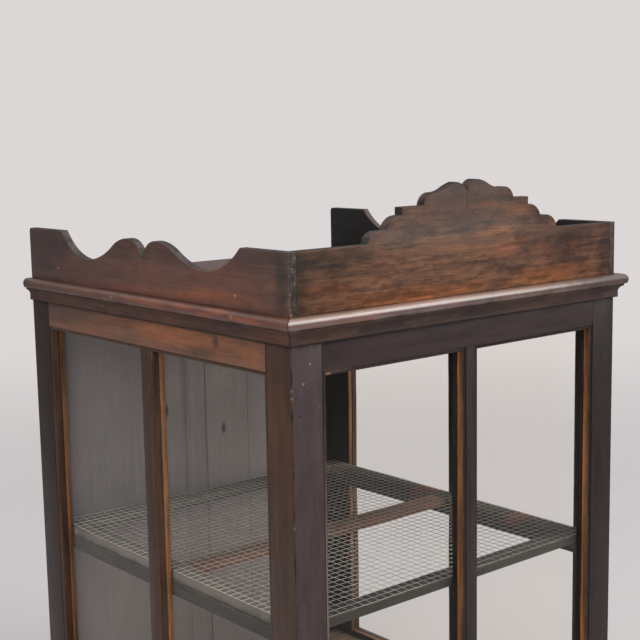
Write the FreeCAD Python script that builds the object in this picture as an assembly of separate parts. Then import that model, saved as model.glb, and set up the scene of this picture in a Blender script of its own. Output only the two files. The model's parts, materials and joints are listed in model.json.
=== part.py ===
import FreeCAD, Part

import os

# A glazed countertop display case: three glazed frames under a moulded top with a scalloped
# gallery, a wire mesh shelf inside and a pair of plank doors behind.
# X runs to the right seen from the front, Y to the back, Z up, all in millimetres.
# The origin is at the middle of the whole case, on the counter.

# Body, measured over the frames
body_width = 584.0
body_depth = 606.0
frame_height = 752.0
frame_thickness = 21.0
arris = 1.2

# Members of each glazed frame
stile_width = 46.0
right_back_stile_width = 55.0
muntin_width = 17.0
right_muntin_share = 0.4785
top_rail_height = 48.5
bottom_rail_height = 85.0
lip_width = 5.0
lip_thickness = 7.5
tenon_thickness = 7.0
tenon_shoulder = 8.0
stub_tenon_length = 12.0
joint_clearance = 0.2

# Glass and the beads that hold it
glass_thickness = 2.5
glass_clearance = 1.0
bead_width = 5.0
bead_recess = 0.8
bead_round = 2.0

# Top board and cornice
top_board_thickness = 19.0
cornice_height = 32.4
cornice_projection = 14.5
nose_height = 13.4
nose_start = 6.5
nose_lift = 2.8
nose_drop = 7.2
nose_foot = 12.8
quirk_depth = 2.6
quirk_height = 3.0
cove_height = 10.2
cove_foot = 4.2
cove_hollow = 1.6

# Gallery that stands on the top board
gallery_thickness = 11.0
front_gallery_thickness = 14.0
right_gallery_setback = 9.0
gallery_height = 73.3
gallery_corner_radius = 5.0
front_scallop_depth = 32.4
back_scallop_depth = 36.4
hump_drop = 2.0
notch_depth = 29.0

# Crest, the raised middle of the front gallery board
crest_rise = 69.6
crest_notch_offset = -5.8
crest_left_reach = 167.2
crest_right_reach = 172.7

# Base moulding
base_height = 45.0
base_projection = 14.5
base_flat_height = 29.0
base_ogee_height = 12.0
base_lip = 4.0

# Floor of the case
floor_thickness = 15.0
floor_below_lip = 10.0
floor_clearance = 1.0
cleat_width = 20.0
cleat_height = 19.0

# Shelf: a wooden frame with wire mesh on top
shelf_top = 397.7
shelf_clearance = 2.5
shelf_rail_width = 30.0
shelf_rail_thickness = 12.0
cross_rail_share = 0.4897
mesh_wire = 1.2
mesh_inset = 1.0
mesh_gaps_across = 16
mesh_gaps_deep = 16
ledger_width = 20.0
ledger_height = 19.0

# Back of the case: two jambs, a sill and a head rail round a pair of plank doors
back_board_thickness = 17.0
jamb_width = 15.5
sill_height = 60.0
head_rail_height = 45.0
stop_width = 20.0
stop_height = 12.0
stop_reach = 10.0
stop_clearance = 0.5
door_gap = 2.0
left_meeting_board_width = 38.0
right_meeting_board_width = 84.0
board_bevel = 1.0
batten_height = 60.0
batten_thickness = 14.0
batten_bevel = 4.0
batten_margin = 30.0
batten_from_end = 80.0

# Hinges
hinge_length = 50.0
hinge_from_end = 40.0
knuckle_radius = 3.0
knuckle_lift = 3.2
knuckle_gap = 0.3
knuckles = 3
leaf_thickness = 1.6
frame_leaf_width = 26.0
door_leaf_width = 26.0
pin_radius = 1.4
pin_clearance = 0.05
pin_head_radius = 2.4
pin_head_height = 1.6

# Door knobs
knob_length = 26.0
knob_radius = 13.0
knob_spigot_radius = 4.5
knob_spigot_length = 10.0
knob_height = 392.0
knob_from_edge = 24.0
spigot_clearance = 0.05

# Turn button on the head rail
button_length = 76.0
button_width = 15.0
button_thickness = 8.0
button_lift = 0.5
button_from_top = 24.0
screw_radius = 2.0
screw_clearance = 0.06
screw_depth = 11.0
screw_head_radius = 4.5
screw_head_height = 2.2

# One overrun for every cut
overrun = 5.0

# Crest outline, as shares of the half's reach and of the crest's rise, from the notch outwards
notch_height_share = 0.802
crest_left_shares = {
    "lobe": [(0.046, 0.911), (0.115, 0.966)],
    "swell": [(0.175, 0.922), (0.228, 0.864)],
    "saddle": [(0.279, 0.819), (0.336, 0.803)],
    "shoulder": [(0.417, 0.739), (0.451, 0.587)],
    "block": [(0.670, 0.587), (0.670, 0.445)],
    "middle_lobe": [(0.773, 0.379), (0.824, 0.211)],
    "outer_lobe": [(0.968, 0.150), (1.000, 0.000)],
}
crest_right_shares = {
    "lobe": [(0.030, 0.932), (0.089, 1.000)],
    "swell": [(0.161, 0.974), (0.207, 0.930)],
    "saddle": [(0.271, 0.859), (0.382, 0.833)],
    "shoulder": [(0.461, 0.782), (0.500, 0.625)],
    "block": [(0.664, 0.625), (0.664, 0.480)],
    "middle_lobe": [(0.760, 0.417), (0.807, 0.254)],
    "outer_lobe": [(0.963, 0.170), (1.000, 0.000)],
}
lobe_flat_share = 0.890

# Where the side gallery's scallops start and end and its humps peak, as shares of the depth
front_scallop_share = 0.1502
back_scallop_share = 0.1568
scallop_bottom_share = 0.2690
hump_top_share = 0.4439

# Points halfway along the scallop's arcs, as shares of the arc's width and of its height
scallop_fall_share = (0.500, 0.760)
scallop_rise_share = (0.545, 0.310)
hump_rise_share = (0.480, 0.740)
hump_fall_share = (0.690, 0.310)
scallop_turn_share = 0.610
scallop_turn_height_share = 0.595

# The knob's turned outline from its foot to its face, as shares of its radius and of its length
knob_shares = [(0.73, 0.00), (0.73, 0.17), (0.48, 0.17), (0.48, 0.46), (1.00, 0.46), (1.00, 1.00)]

# How far a step at 45 degrees goes along each axis, as a share of the step
diagonal_share = 0.5 ** 0.5

UP = FreeCAD.Vector(0, 0, 1)
RIGHT = FreeCAD.Vector(1, 0, 0)
BACK = FreeCAD.Vector(0, 1, 0)

# Places worked out from the sizes
front_reach = max(cornice_projection, base_projection)
whole_depth = front_reach + body_depth + knob_length
left = -body_width / 2
right = body_width / 2
front = front_reach - whole_depth / 2
back = front + body_depth
top = frame_height + top_board_thickness
rebate = frame_thickness - lip_thickness
glass_front = rebate - glass_thickness
rail_bottom = frame_height - top_rail_height
tenon_start = (frame_thickness - tenon_thickness) / 2
inner_left = left + frame_thickness
inner_right = right - frame_thickness
inner_front = front + frame_thickness
inner_back = back - back_board_thickness
floor_top = bottom_rail_height + lip_width - floor_below_lip
door_bottom = sill_height + door_gap
door_top = frame_height - head_rail_height - door_gap
shelf_under_mesh = shelf_top - mesh_wire
shelf_bottom = shelf_under_mesh - shelf_rail_thickness
knuckle_length = (hinge_length - knuckle_gap * (knuckles - 1)) / knuckles
hinge_axis_y = back + knuckle_lift
scallop_bottom = body_depth * scallop_bottom_share
hump_top = body_depth * hump_top_share
opening_half = body_width / 2 - frame_thickness - jamb_width
hinge_axis_x = opening_half - door_gap / 2
button_z = frame_height - button_from_top


class Side:
    """One upright side of the case: u runs along it, v inwards from its outer face, z up."""

    def __init__(self, corner_x, along, inward):
        self.corner = FreeCAD.Vector(corner_x, front, 0)
        self.along = along
        self.inward = inward

    def at(self, u, v, z):
        return self.corner + self.along * u + self.inward * v + UP * z

    def box(self, u, v, z):
        """A block between the two values that each of u, v and z gives."""
        plan = ((u[0], v[0]), (u[1], v[0]), (u[1], v[1]), (u[0], v[1]))
        return prism([self.at(a, b, z[0]) for a, b in plan], UP * (z[1] - z[0]))


FRONT_SIDE = Side(left, RIGHT, BACK)
LEFT_SIDE = Side(left, BACK, RIGHT)
RIGHT_SIDE = Side(right, BACK, RIGHT * -1)


class Outline:
    """A closed outline of lines and arcs; place turns its two coordinates into a point."""

    def __init__(self, place, start):
        self.place = place
        self.start = start
        self.pen = start
        self.edges = []

    def line(self, *ends):
        for end in ends:
            self.edges.append(Part.makeLine(self.place(*self.pen), self.place(*end)))
            self.pen = end
        return self

    def arc(self, middle, end):
        points = [self.place(*point) for point in (self.pen, middle, end)]
        self.edges.append(Part.Arc(*points).toShape())
        self.pen = end
        return self

    def solid(self, travel):
        self.line(self.start)
        return Part.Face(Part.Wire(self.edges)).extrude(travel)


def prism(points, travel):
    """The solid that a polygon sweeps along travel."""
    return Part.Face(Part.makePolygon(points + points[:1])).extrude(travel)


def block(x, y, z):
    """A box between the two values that each of x, y and z gives."""
    corner = FreeCAD.Vector(min(x), min(y), min(z))
    return Part.makeBox(abs(x[1] - x[0]), abs(y[1] - y[0]), abs(z[1] - z[0]), corner)


def rod(start, axis, length, radius):
    return Part.makeCylinder(radius, length, start, axis)


def joined(shapes):
    whole = shapes[0]
    for shape in shapes[1:]:
        whole = whole.fuse(shape)
    return whole.removeSplitter()


def group(solids):
    return Part.makeCompound(solids)


def save(name, shape):
    shape.exportStep("parts/" + name + ".step")


# Glazed frames

class Frame:
    """A glazed side of the case: its run, the widths of its stiles and the place of its muntin."""

    def __init__(self, name, side, width, ends, end_mitred, last_stile, middle):
        self.name = name
        self.side = side
        self.width = width
        self.ends = ends
        self.end_mitred = end_mitred
        self.stiles = (stile_width, last_stile)
        self.middle = middle
        self.opening = (stile_width, width - last_stile)
        half_bar = muntin_width / 2
        self.panes = ((stile_width, middle - half_bar), (middle + half_bar, width - last_stile))


RAIL_SPANS = {"bottom": (0, bottom_rail_height), "top": (rail_bottom, frame_height)}
RAIL_LIPS = {"bottom": (bottom_rail_height, bottom_rail_height + lip_width),
             "top": (rail_bottom - lip_width, rail_bottom)}


def tenon_v(clearance):
    return tenon_start - clearance, tenon_start + tenon_thickness + clearance


def tenon_z(span, clearance):
    return span[0] + tenon_shoulder - clearance, span[1] - tenon_shoulder + clearance


def tenon_length(stile):
    return stile - frame_thickness


def stile(frame, index):
    """An upright of a frame, with the lip that the glass rests on and a mortise for each rail."""
    side = frame.side
    wide = frame.stiles[index]
    if index == 0 or frame.end_mitred:
        plan = [(arris, 0), (wide, 0), (wide, frame_thickness),
                (frame_thickness, frame_thickness), (arris / 2, arris / 2)]
    else:
        plan = [(0, 0), (wide, 0), (wide, frame_thickness), (0, frame_thickness)]
    turn = (lambda u: frame.width - u) if index else (lambda u: u)
    body = prism([side.at(turn(u), v, 0) for u, v in plan], UP * frame_height)
    lip = side.box((turn(wide), turn(wide + lip_width)), (rebate, frame_thickness),
                   (bottom_rail_height, rail_bottom))
    whole = joined([body, lip])
    for span in RAIL_SPANS.values():
        mortise = side.box((turn(wide - tenon_length(wide) - joint_clearance), turn(wide)),
                           tenon_v(joint_clearance), tenon_z(span, joint_clearance))
        whole = whole.cut(mortise)
    return whole


def rail(frame, place):
    """A rail between the stiles, with a tenon at each end and a mortise for the muntin."""
    side = frame.side
    span = RAIL_SPANS[place]
    start, end = frame.opening
    body = side.box((start, end), (0, frame_thickness), span)
    tenon = side.box((start - tenon_length(frame.stiles[0]), end + tenon_length(frame.stiles[1])),
                     tenon_v(0), tenon_z(span, 0))
    parts = [body, tenon]
    for pane_start, pane_end in frame.panes:
        parts.append(side.box((pane_start + lip_width, pane_end - lip_width), (rebate, frame_thickness),
                              RAIL_LIPS[place]))
    reach = stub_tenon_length + joint_clearance
    mortise_z = (span[1] - reach, span[1]) if place == "bottom" else (span[0], span[0] + reach)
    half = muntin_width / 2 + joint_clearance
    mortise = side.box((frame.middle - half, frame.middle + half), tenon_v(joint_clearance), mortise_z)
    return joined(parts).cut(mortise)


def muntin(frame):
    """The upright bar between the two panes, with a stub tenon into each rail."""
    side = frame.side
    core = (frame.middle - muntin_width / 2, frame.middle + muntin_width / 2)
    bar = side.box(core, (0, frame_thickness), (bottom_rail_height, rail_bottom))
    tenon = side.box(core, tenon_v(0),
                     (bottom_rail_height - stub_tenon_length, rail_bottom + stub_tenon_length))
    lips = side.box((core[0] - lip_width, core[1] + lip_width), (rebate, frame_thickness),
                    (bottom_rail_height, rail_bottom))
    return joined([bar, tenon, lips])


def pane(side, span):
    return side.box((span[0] + glass_clearance, span[1] - glass_clearance), (glass_front, rebate),
                    (bottom_rail_height + glass_clearance, rail_bottom - glass_clearance))


def bead_strip(place, length, travel, corners):
    """One glazing bead with a rounded front arris, cut to its mitres."""
    strip = Outline(place, (0, bead_recess))
    strip.line((bead_width - bead_round, bead_recess))
    middle = bead_round * (1 - diagonal_share)
    strip.arc((bead_width - middle, bead_recess + middle), (bead_width, bead_recess + bead_round))
    strip.line((bead_width, glass_front), (0, glass_front))
    return strip.solid(travel * length).common(corners)


def beads(side, span):
    """The four beads round one pane, mitred where they meet."""
    low, high = bottom_rail_height, rail_bottom
    start, end = span
    outer = [(start, low), (end, low), (end, high), (start, high)]
    inner = [(start + bead_width, low + bead_width), (end - bead_width, low + bead_width),
             (end - bead_width, high - bead_width), (start + bead_width, high - bead_width)]
    places = [
        (lambda a, v: side.at(start, v, low + a), end - start, side.along),
        (lambda a, v: side.at(end - a, v, low), high - low, UP),
        (lambda a, v: side.at(start, v, high - a), end - start, side.along),
        (lambda a, v: side.at(start + a, v, low), high - low, UP),
    ]
    strips = []
    for index, (place, length, travel) in enumerate(places):
        after = (index + 1) % len(places)
        corners = [outer[index], outer[after], inner[after], inner[index]]
        wedge = prism([side.at(u, 0, z) for u, z in corners], side.inward * frame_thickness)
        strips.append(bead_strip(place, length, travel, wedge))
    return strips


def glazed_frames():
    """The three glazed sides, each with two stiles, two rails, a muntin, two panes and their beads."""
    frames = (
        Frame("front", FRONT_SIDE, body_width, ("left", "right"), True, stile_width, body_width / 2),
        Frame("left", LEFT_SIDE, body_depth, ("front", "back"), False, stile_width, body_depth / 2),
        Frame("right", RIGHT_SIDE, body_depth, ("front", "back"), False, right_back_stile_width,
              body_depth * right_muntin_share),
    )
    for frame in frames:
        for index, end in enumerate(frame.ends):
            save(frame.name + "_stile_" + end, stile(frame, index))
            save(frame.name + "_glass_" + end, pane(frame.side, frame.panes[index]))
        for place in RAIL_SPANS:
            save(frame.name + "_rail_" + place, rail(frame, place))
        save(frame.name + "_muntin", muntin(frame))
        both = [beads(frame.side, span) for span in frame.panes]
        save(frame.name + "_beads", group(both[0] + both[1]))


# Mouldings

def moulding(side, length, outline, height, projection, end_mitred):
    """A moulding along one side, mitred at the front corners and square at the back."""
    reach = projection + overrun
    run = outline.solid(side.along * (length + 2 * reach))
    end_u = length + reach if end_mitred else length
    plan = [(0, 0), (length, 0), (end_u, -reach), (-reach, -reach)]
    keep = prism([side.at(u, v, height[0] - overrun) for u, v in plan],
                 UP * (height[1] - height[0] + 2 * overrun))
    return run.common(keep)


def cornice_outline(side):
    """Rounded nose, quirk, cove and lower fillet, from the top inner corner outwards."""
    start_u = -(cornice_projection + overrun)
    path = Outline(lambda out, down: side.at(start_u, -out, top - down), (0, 0))
    quirk_in = nose_foot - quirk_depth
    cove_top = nose_height + quirk_height
    cove_bottom = cove_top + cove_height
    path.line((nose_start, 0))
    path.arc(((nose_start + cornice_projection) / 2 + nose_lift / 2, nose_lift / 2),
             (cornice_projection, nose_drop))
    path.arc((cornice_projection - nose_lift / 6, (nose_drop + nose_height) / 2 + nose_lift / 6),
             (nose_foot, nose_height))
    path.line((quirk_in, nose_height), (quirk_in, cove_top))
    path.arc(((quirk_in + cove_foot) / 2 - cove_hollow, (cove_top + cove_bottom) / 2 - cove_hollow),
             (cove_foot, cove_bottom))
    path.line((cove_foot, cornice_height), (0, cornice_height))
    return path


def base_outline(side):
    """A flat plinth with an ogee along its top."""
    start_u = -(base_projection + overrun)
    path = Outline(lambda out, up: side.at(start_u, -out, up), (0, 0))
    foot = (base_projection, base_flat_height)
    head = (base_lip, base_flat_height + base_ogee_height)
    turn = between(foot, head, (0.5, 0.5))
    swell = base_ogee_height / 12
    low_middle = between(foot, turn, (0.5, 0.5))
    high_middle = between(turn, head, (0.5, 0.5))
    path.line((base_projection, 0), foot)
    path.arc((low_middle[0] + swell, low_middle[1] + swell), turn)
    path.arc((high_middle[0] - swell, high_middle[1] - swell), head)
    path.line((base_lip, base_height), (0, base_height))
    return path


def mouldings():
    sides = (("front", FRONT_SIDE, body_width, True),
             ("left", LEFT_SIDE, body_depth, False),
             ("right", RIGHT_SIDE, body_depth, False))
    for name, side, length, end_mitred in sides:
        save("cornice_" + name, moulding(side, length, cornice_outline(side), (top - cornice_height, top),
                                         cornice_projection, end_mitred))
        save("base_moulding_" + name, moulding(side, length, base_outline(side), (0, base_height),
                                               base_projection, end_mitred))


# Gallery

def side_gallery(side, setback):
    """A side board of the gallery: two scallops and two humps that meet in a notch."""
    path = Outline(lambda u, down: side.at(u, 0, top + gallery_height - down), (0, gallery_height))
    follow(path, gallery_half(0, 0, body_depth * front_scallop_share, front_scallop_depth))
    back_half = gallery_half(setback, gallery_corner_radius, body_depth * back_scallop_share, back_scallop_depth)
    follow(path, mirrored(back_half, body_depth))
    path.line((body_depth - setback, gallery_height))
    return path.solid(side.inward * gallery_thickness)


def gallery_half(end, radius, scallop_start, depth):
    """Steps from the end of a side board to its middle notch: flat, scallop and hump."""
    turn_u = scallop_bottom + (hump_top - scallop_bottom) * scallop_turn_share
    turn_down = depth - (depth - hump_drop) * scallop_turn_height_share
    bottom = (scallop_bottom, depth)
    turn = (turn_u, turn_down)
    crown = (hump_top, hump_drop)
    notch = (body_depth / 2, notch_depth)
    steps = [(None, (end, radius))]
    if radius:
        inset = radius * (1 - diagonal_share)
        steps.append(((end + inset, inset), (end + radius, 0)))
    steps.append((None, (scallop_start, 0)))
    steps.append((between((scallop_start, 0), bottom, scallop_fall_share), bottom))
    steps.append((between(bottom, turn, scallop_rise_share), turn))
    steps.append((between(turn, crown, hump_rise_share), crown))
    steps.append((between(crown, notch, hump_fall_share), notch))
    return steps


def between(start, end, share):
    """The point at a share of the way from start to end, one share for each coordinate."""
    return start[0] + (end[0] - start[0]) * share[0], start[1] + (end[1] - start[1]) * share[1]


def follow(path, steps):
    """Draw the steps: a line where a step has no middle point, an arc where it has one."""
    for middle, end in steps:
        if middle is None:
            path.line(end)
        else:
            path.arc(middle, end)


def mirrored(steps, whole):
    """The same steps drawn the other way along the second half of a board."""
    other_half = []
    for index in range(len(steps) - 1, 0, -1):
        middle = steps[index][0]
        end = steps[index - 1][1]
        flipped = None if middle is None else (whole - middle[0], middle[1])
        other_half.append((flipped, (whole - end[0], end[1])))
    return other_half


def crest_half(notch_x, reach, shares):
    """Steps from the notch out to the foot of the crest, on the side that reach points to."""
    def place(share):
        return notch_x + reach * share[0], gallery_height + crest_rise * share[1]

    outer_flat = (lobe_flat_share, shares["middle_lobe"][1][1])
    return [
        (place(shares["lobe"][0]), place(shares["lobe"][1])),
        (place(shares["swell"][0]), place(shares["swell"][1])),
        (place(shares["saddle"][0]), place(shares["saddle"][1])),
        (place(shares["shoulder"][0]), place(shares["shoulder"][1])),
        (None, place(shares["block"][0])),
        (None, place(shares["block"][1])),
        (place(shares["middle_lobe"][0]), place(shares["middle_lobe"][1])),
        (None, place(outer_flat)),
        (place(shares["outer_lobe"][0]), place(shares["outer_lobe"][1])),
    ]


def front_gallery():
    """The front board of the gallery, sawn to a stepped and lobed crest."""
    start_x = left + gallery_thickness
    end_x = right - gallery_thickness
    path = Outline(lambda x, up: FreeCAD.Vector(x, front, top + up), (end_x, 0))
    notch = (crest_notch_offset, gallery_height + crest_rise * notch_height_share)
    right_half = [(None, notch)] + crest_half(crest_notch_offset, crest_right_reach, crest_right_shares)
    left_half = crest_half(crest_notch_offset, -crest_left_reach, crest_left_shares)
    path.line((end_x, gallery_height))
    inward = [(None, right_half[-1][1])]
    for index in range(len(right_half) - 1, 0, -1):
        inward.append((right_half[index][0], right_half[index - 1][1]))
    follow(path, inward)
    follow(path, left_half)
    path.line((start_x, gallery_height), (start_x, 0))
    return path.solid(BACK * front_gallery_thickness)


# Top, floor and shelf

def top_board():
    return block((left, right), (front, back), (frame_height, top))


def floor_board():
    return block((inner_left + floor_clearance, inner_right - floor_clearance),
                 (inner_front + floor_clearance, inner_back - floor_clearance),
                 (floor_top - floor_thickness, floor_top))


def side_strips(width, height, upper_z):
    """A pair of strips along the inner faces of the side frames, to carry a board."""
    y = (inner_front, inner_back - shelf_clearance)
    z = (upper_z - height, upper_z)
    return group([block((inner_left, inner_left + width), y, z),
                  block((inner_right - width, inner_right), y, z)])


def shelf_frame():
    """Side, end and cross rails of the shelf, flat under the mesh."""
    x = (inner_left + shelf_clearance, inner_right - shelf_clearance)
    y = (inner_front + shelf_clearance, inner_back - shelf_clearance)
    z = (shelf_bottom, shelf_under_mesh)
    inner_x = (x[0] + shelf_rail_width, x[1] - shelf_rail_width)
    save("shelf_side_rails", group([block((x[0], inner_x[0]), y, z), block((inner_x[1], x[1]), y, z)]))
    save("shelf_end_rails", group([block(inner_x, (y[0], y[0] + shelf_rail_width), z),
                                   block(inner_x, (y[1] - shelf_rail_width, y[1]), z)]))
    middle = front + body_depth * cross_rail_share
    half_rail = shelf_rail_width / 2
    save("shelf_cross_rail", block(inner_x, (middle - half_rail, middle + half_rail), z))


def shelf_mesh():
    """The wire mesh as one holed sheet, with fewer and wider gaps than the real mesh."""
    margin = shelf_clearance + mesh_inset
    x0 = inner_left + margin
    y0 = inner_front + margin
    width = inner_right - margin - x0
    depth = inner_back - margin - y0
    pitch_x = (width - mesh_wire) / mesh_gaps_across
    pitch_y = (depth - mesh_wire) / mesh_gaps_deep
    outer = rectangle(x0, y0, width, depth)
    holes = []
    for column in range(mesh_gaps_across):
        for row in range(mesh_gaps_deep):
            holes.append(rectangle(x0 + mesh_wire + column * pitch_x, y0 + mesh_wire + row * pitch_y,
                                   pitch_x - mesh_wire, pitch_y - mesh_wire))
    for hole in holes:
        hole.reverse()
    return Part.Face([outer] + holes).extrude(UP * mesh_wire)


def rectangle(x, y, width, depth):
    corners = [FreeCAD.Vector(a, b, shelf_under_mesh)
               for a, b in ((x, y), (x + width, y), (x + width, y + depth), (x, y + depth))]
    return Part.makePolygon(corners + corners[:1])


# Back of the case

def back_frame():
    """Jambs, sill and head rail round the doors, and the strip that the doors close against."""
    y = (inner_back, back)
    for name, outer, inner in (("left", inner_left, -opening_half), ("right", inner_right, opening_half)):
        save("back_jamb_" + name, block((outer, inner), y, (0, frame_height)))
    x = (-opening_half, opening_half)
    save("back_sill", block(x, y, (0, sill_height)))
    head_bottom = frame_height - head_rail_height
    bore = rod(FreeCAD.Vector(0, back - screw_depth, button_z), BACK, screw_depth + overrun,
               screw_radius + screw_clearance)
    save("back_head_rail", block(x, y, (head_bottom, frame_height)).cut(bore))
    stop_y = (inner_back - stop_clearance - stop_width, inner_back - stop_clearance)
    strip = block(x, stop_y, (head_bottom - stop_reach, head_bottom + stop_height))
    tongue = block(x, (stop_y[1], inner_back), (head_bottom, head_bottom + stop_height))
    save("door_stop", joined([strip, tongue]))


def door(side_sign, meeting_board_width):
    """One plank door of two boards; side_sign is -1 for the left door and 1 for the right one."""
    hinge_x = side_sign * (opening_half - door_gap)
    meeting_x = side_sign * door_gap / 2
    joint_x = meeting_x + side_sign * meeting_board_width
    bevel = side_sign * board_bevel
    near = [(meeting_x, inner_back), (joint_x - bevel, inner_back), (joint_x, inner_back + board_bevel),
            (joint_x, back), (meeting_x, back)]
    far = [(joint_x, inner_back + board_bevel), (joint_x + bevel, inner_back), (hinge_x, inner_back),
           (hinge_x, back), (joint_x, back)]
    boards = []
    for plan in (near, far):
        corners = [FreeCAD.Vector(x, y, door_bottom) for x, y in plan]
        boards.append(prism(corners, UP * (door_top - door_bottom)))
    knob_x = meeting_x + side_sign * knob_from_edge
    hole_start = FreeCAD.Vector(knob_x, back - knob_spigot_length - spigot_clearance, knob_height)
    hole = rod(hole_start, BACK, knob_spigot_length + overrun, knob_spigot_radius + spigot_clearance)
    return group([board.cut(hole) for board in boards])


def door_battens(side_sign):
    """The two ledges across the outside of a door, with bevelled edges."""
    hinge_x = side_sign * (opening_half - door_gap - batten_margin)
    meeting_x = side_sign * (door_gap / 2 + batten_margin)
    ledges = []
    for low in (door_bottom + batten_from_end, door_top - batten_from_end - batten_height):
        shoulder = batten_thickness - batten_bevel
        section = [(0, 0), (shoulder, 0), (batten_thickness, batten_bevel),
                   (batten_thickness, batten_height - batten_bevel), (shoulder, batten_height),
                   (0, batten_height)]
        points = [FreeCAD.Vector(hinge_x, back + out, low + up) for out, up in section]
        ledges.append(prism(points, RIGHT * (meeting_x - hinge_x)))
    return group(ledges)


def hinge_heights():
    """The lowest point of each hinge on a door."""
    return door_bottom + hinge_from_end, door_top - hinge_from_end - hinge_length


def hinge_leaf(side_sign, low, on_door):
    """A leaf with its knuckles: the frame's has the outer ones and the door's the middle one."""
    axis_x = side_sign * hinge_axis_x
    outward = -side_sign if on_door else side_sign
    width = door_leaf_width if on_door else frame_leaf_width
    pitch = knuckle_length + knuckle_gap
    leaf = block((axis_x, axis_x + outward * width), (back, back + leaf_thickness),
                 (low, low + hinge_length))
    barrels = []
    clearances = []
    for index in range(knuckles):
        start = FreeCAD.Vector(axis_x, hinge_axis_y, low + index * pitch)
        if (index % 2 == 1) == on_door:
            barrels.append(rod(start, UP, knuckle_length, knuckle_radius))
        else:
            clearances.append(rod(start - UP * knuckle_gap, UP, knuckle_length + 2 * knuckle_gap,
                                  knuckle_radius + knuckle_gap))
    whole = joined([leaf] + barrels)
    bore = rod(FreeCAD.Vector(axis_x, hinge_axis_y, low - overrun), UP, hinge_length + 2 * overrun,
               pin_radius + pin_clearance)
    for cutter in clearances + [bore]:
        whole = whole.cut(cutter)
    return whole


def hinge_pin(side_sign, low):
    axis_x = side_sign * hinge_axis_x
    foot = FreeCAD.Vector(axis_x, hinge_axis_y, low)
    shank = rod(foot, UP, hinge_length, pin_radius)
    head = rod(foot + UP * hinge_length, UP, pin_head_height, pin_head_radius)
    return joined([shank, head])


def knob(side_sign):
    """A turned knob with a spigot that seats in the door."""
    foot = FreeCAD.Vector(side_sign * (door_gap / 2 + knob_from_edge), back, knob_height)
    spigot = [(0, -knob_spigot_length), (knob_spigot_radius, -knob_spigot_length), (knob_spigot_radius, 0)]
    grip = [(knob_radius * share[0], knob_length * share[1]) for share in knob_shares]
    points = [foot + RIGHT * radius + BACK * out for radius, out in spigot + grip + [(0, knob_length)]]
    return Part.Face(Part.makePolygon(points + points[:1])).revolve(foot, BACK, 360)


def turn_button():
    """A small wooden bar with rounded ends that swings on its screw."""
    radius = button_width / 2
    reach = button_length / 2 - radius
    path = Outline(lambda x, z: FreeCAD.Vector(x, back + button_lift, button_z + z), (-reach, -radius))
    path.line((reach, -radius)).arc((reach + radius, 0), (reach, radius))
    path.line((-reach, radius)).arc((-reach - radius, 0), (-reach, -radius))
    body = Part.Face(Part.Wire(path.edges)).extrude(BACK * button_thickness)
    bore = rod(FreeCAD.Vector(0, back - overrun, button_z), BACK, button_thickness + 2 * overrun,
               screw_radius + screw_clearance)
    return body.cut(bore)


def button_screw():
    """The headed screw that the button turns on."""
    start = FreeCAD.Vector(0, back - screw_depth, button_z)
    head_y = 2 * button_lift + button_thickness
    shank = rod(start, BACK, screw_depth + head_y, screw_radius)
    head = rod(start + BACK * (screw_depth + head_y), BACK, screw_head_height, screw_head_radius)
    return joined([shank, head])


def doors():
    for name, side_sign, meeting_board in (("left", -1, left_meeting_board_width),
                                           ("right", 1, right_meeting_board_width)):
        save("door_" + name, door(side_sign, meeting_board))
        save("door_battens_" + name, door_battens(side_sign))
        leaves = [hinge_leaf(side_sign, low, True) for low in hinge_heights()]
        save("door_hinge_leaves_" + name, group(leaves))
        save("door_knob_" + name, knob(side_sign))
    both = [(side_sign, low) for side_sign in (-1, 1) for low in hinge_heights()]
    save("frame_hinge_leaves", group([hinge_leaf(side_sign, low, False) for side_sign, low in both]))
    save("hinge_pins", group([hinge_pin(side_sign, low) for side_sign, low in both]))


def build():
    os.makedirs("parts", exist_ok=True)
    glazed_frames()
    save("top_board", top_board())
    mouldings()
    save("gallery_front", front_gallery())
    save("gallery_left", side_gallery(LEFT_SIDE, 0))
    save("gallery_right", side_gallery(RIGHT_SIDE, right_gallery_setback))
    save("floor_board", floor_board())
    save("floor_cleats", side_strips(cleat_width, cleat_height, floor_top - floor_thickness))
    save("shelf_ledgers", side_strips(ledger_width, ledger_height, shelf_bottom))
    shelf_frame()
    save("shelf_mesh", shelf_mesh())
    back_frame()
    doors()
    save("turn_button", turn_button())
    save("turn_button_screw", button_screw())


build()
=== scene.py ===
import json
import logging
import math
from dataclasses import dataclass, field, replace
from enum import Enum

import bpy
from mathutils import Matrix, Vector, noise

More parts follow.
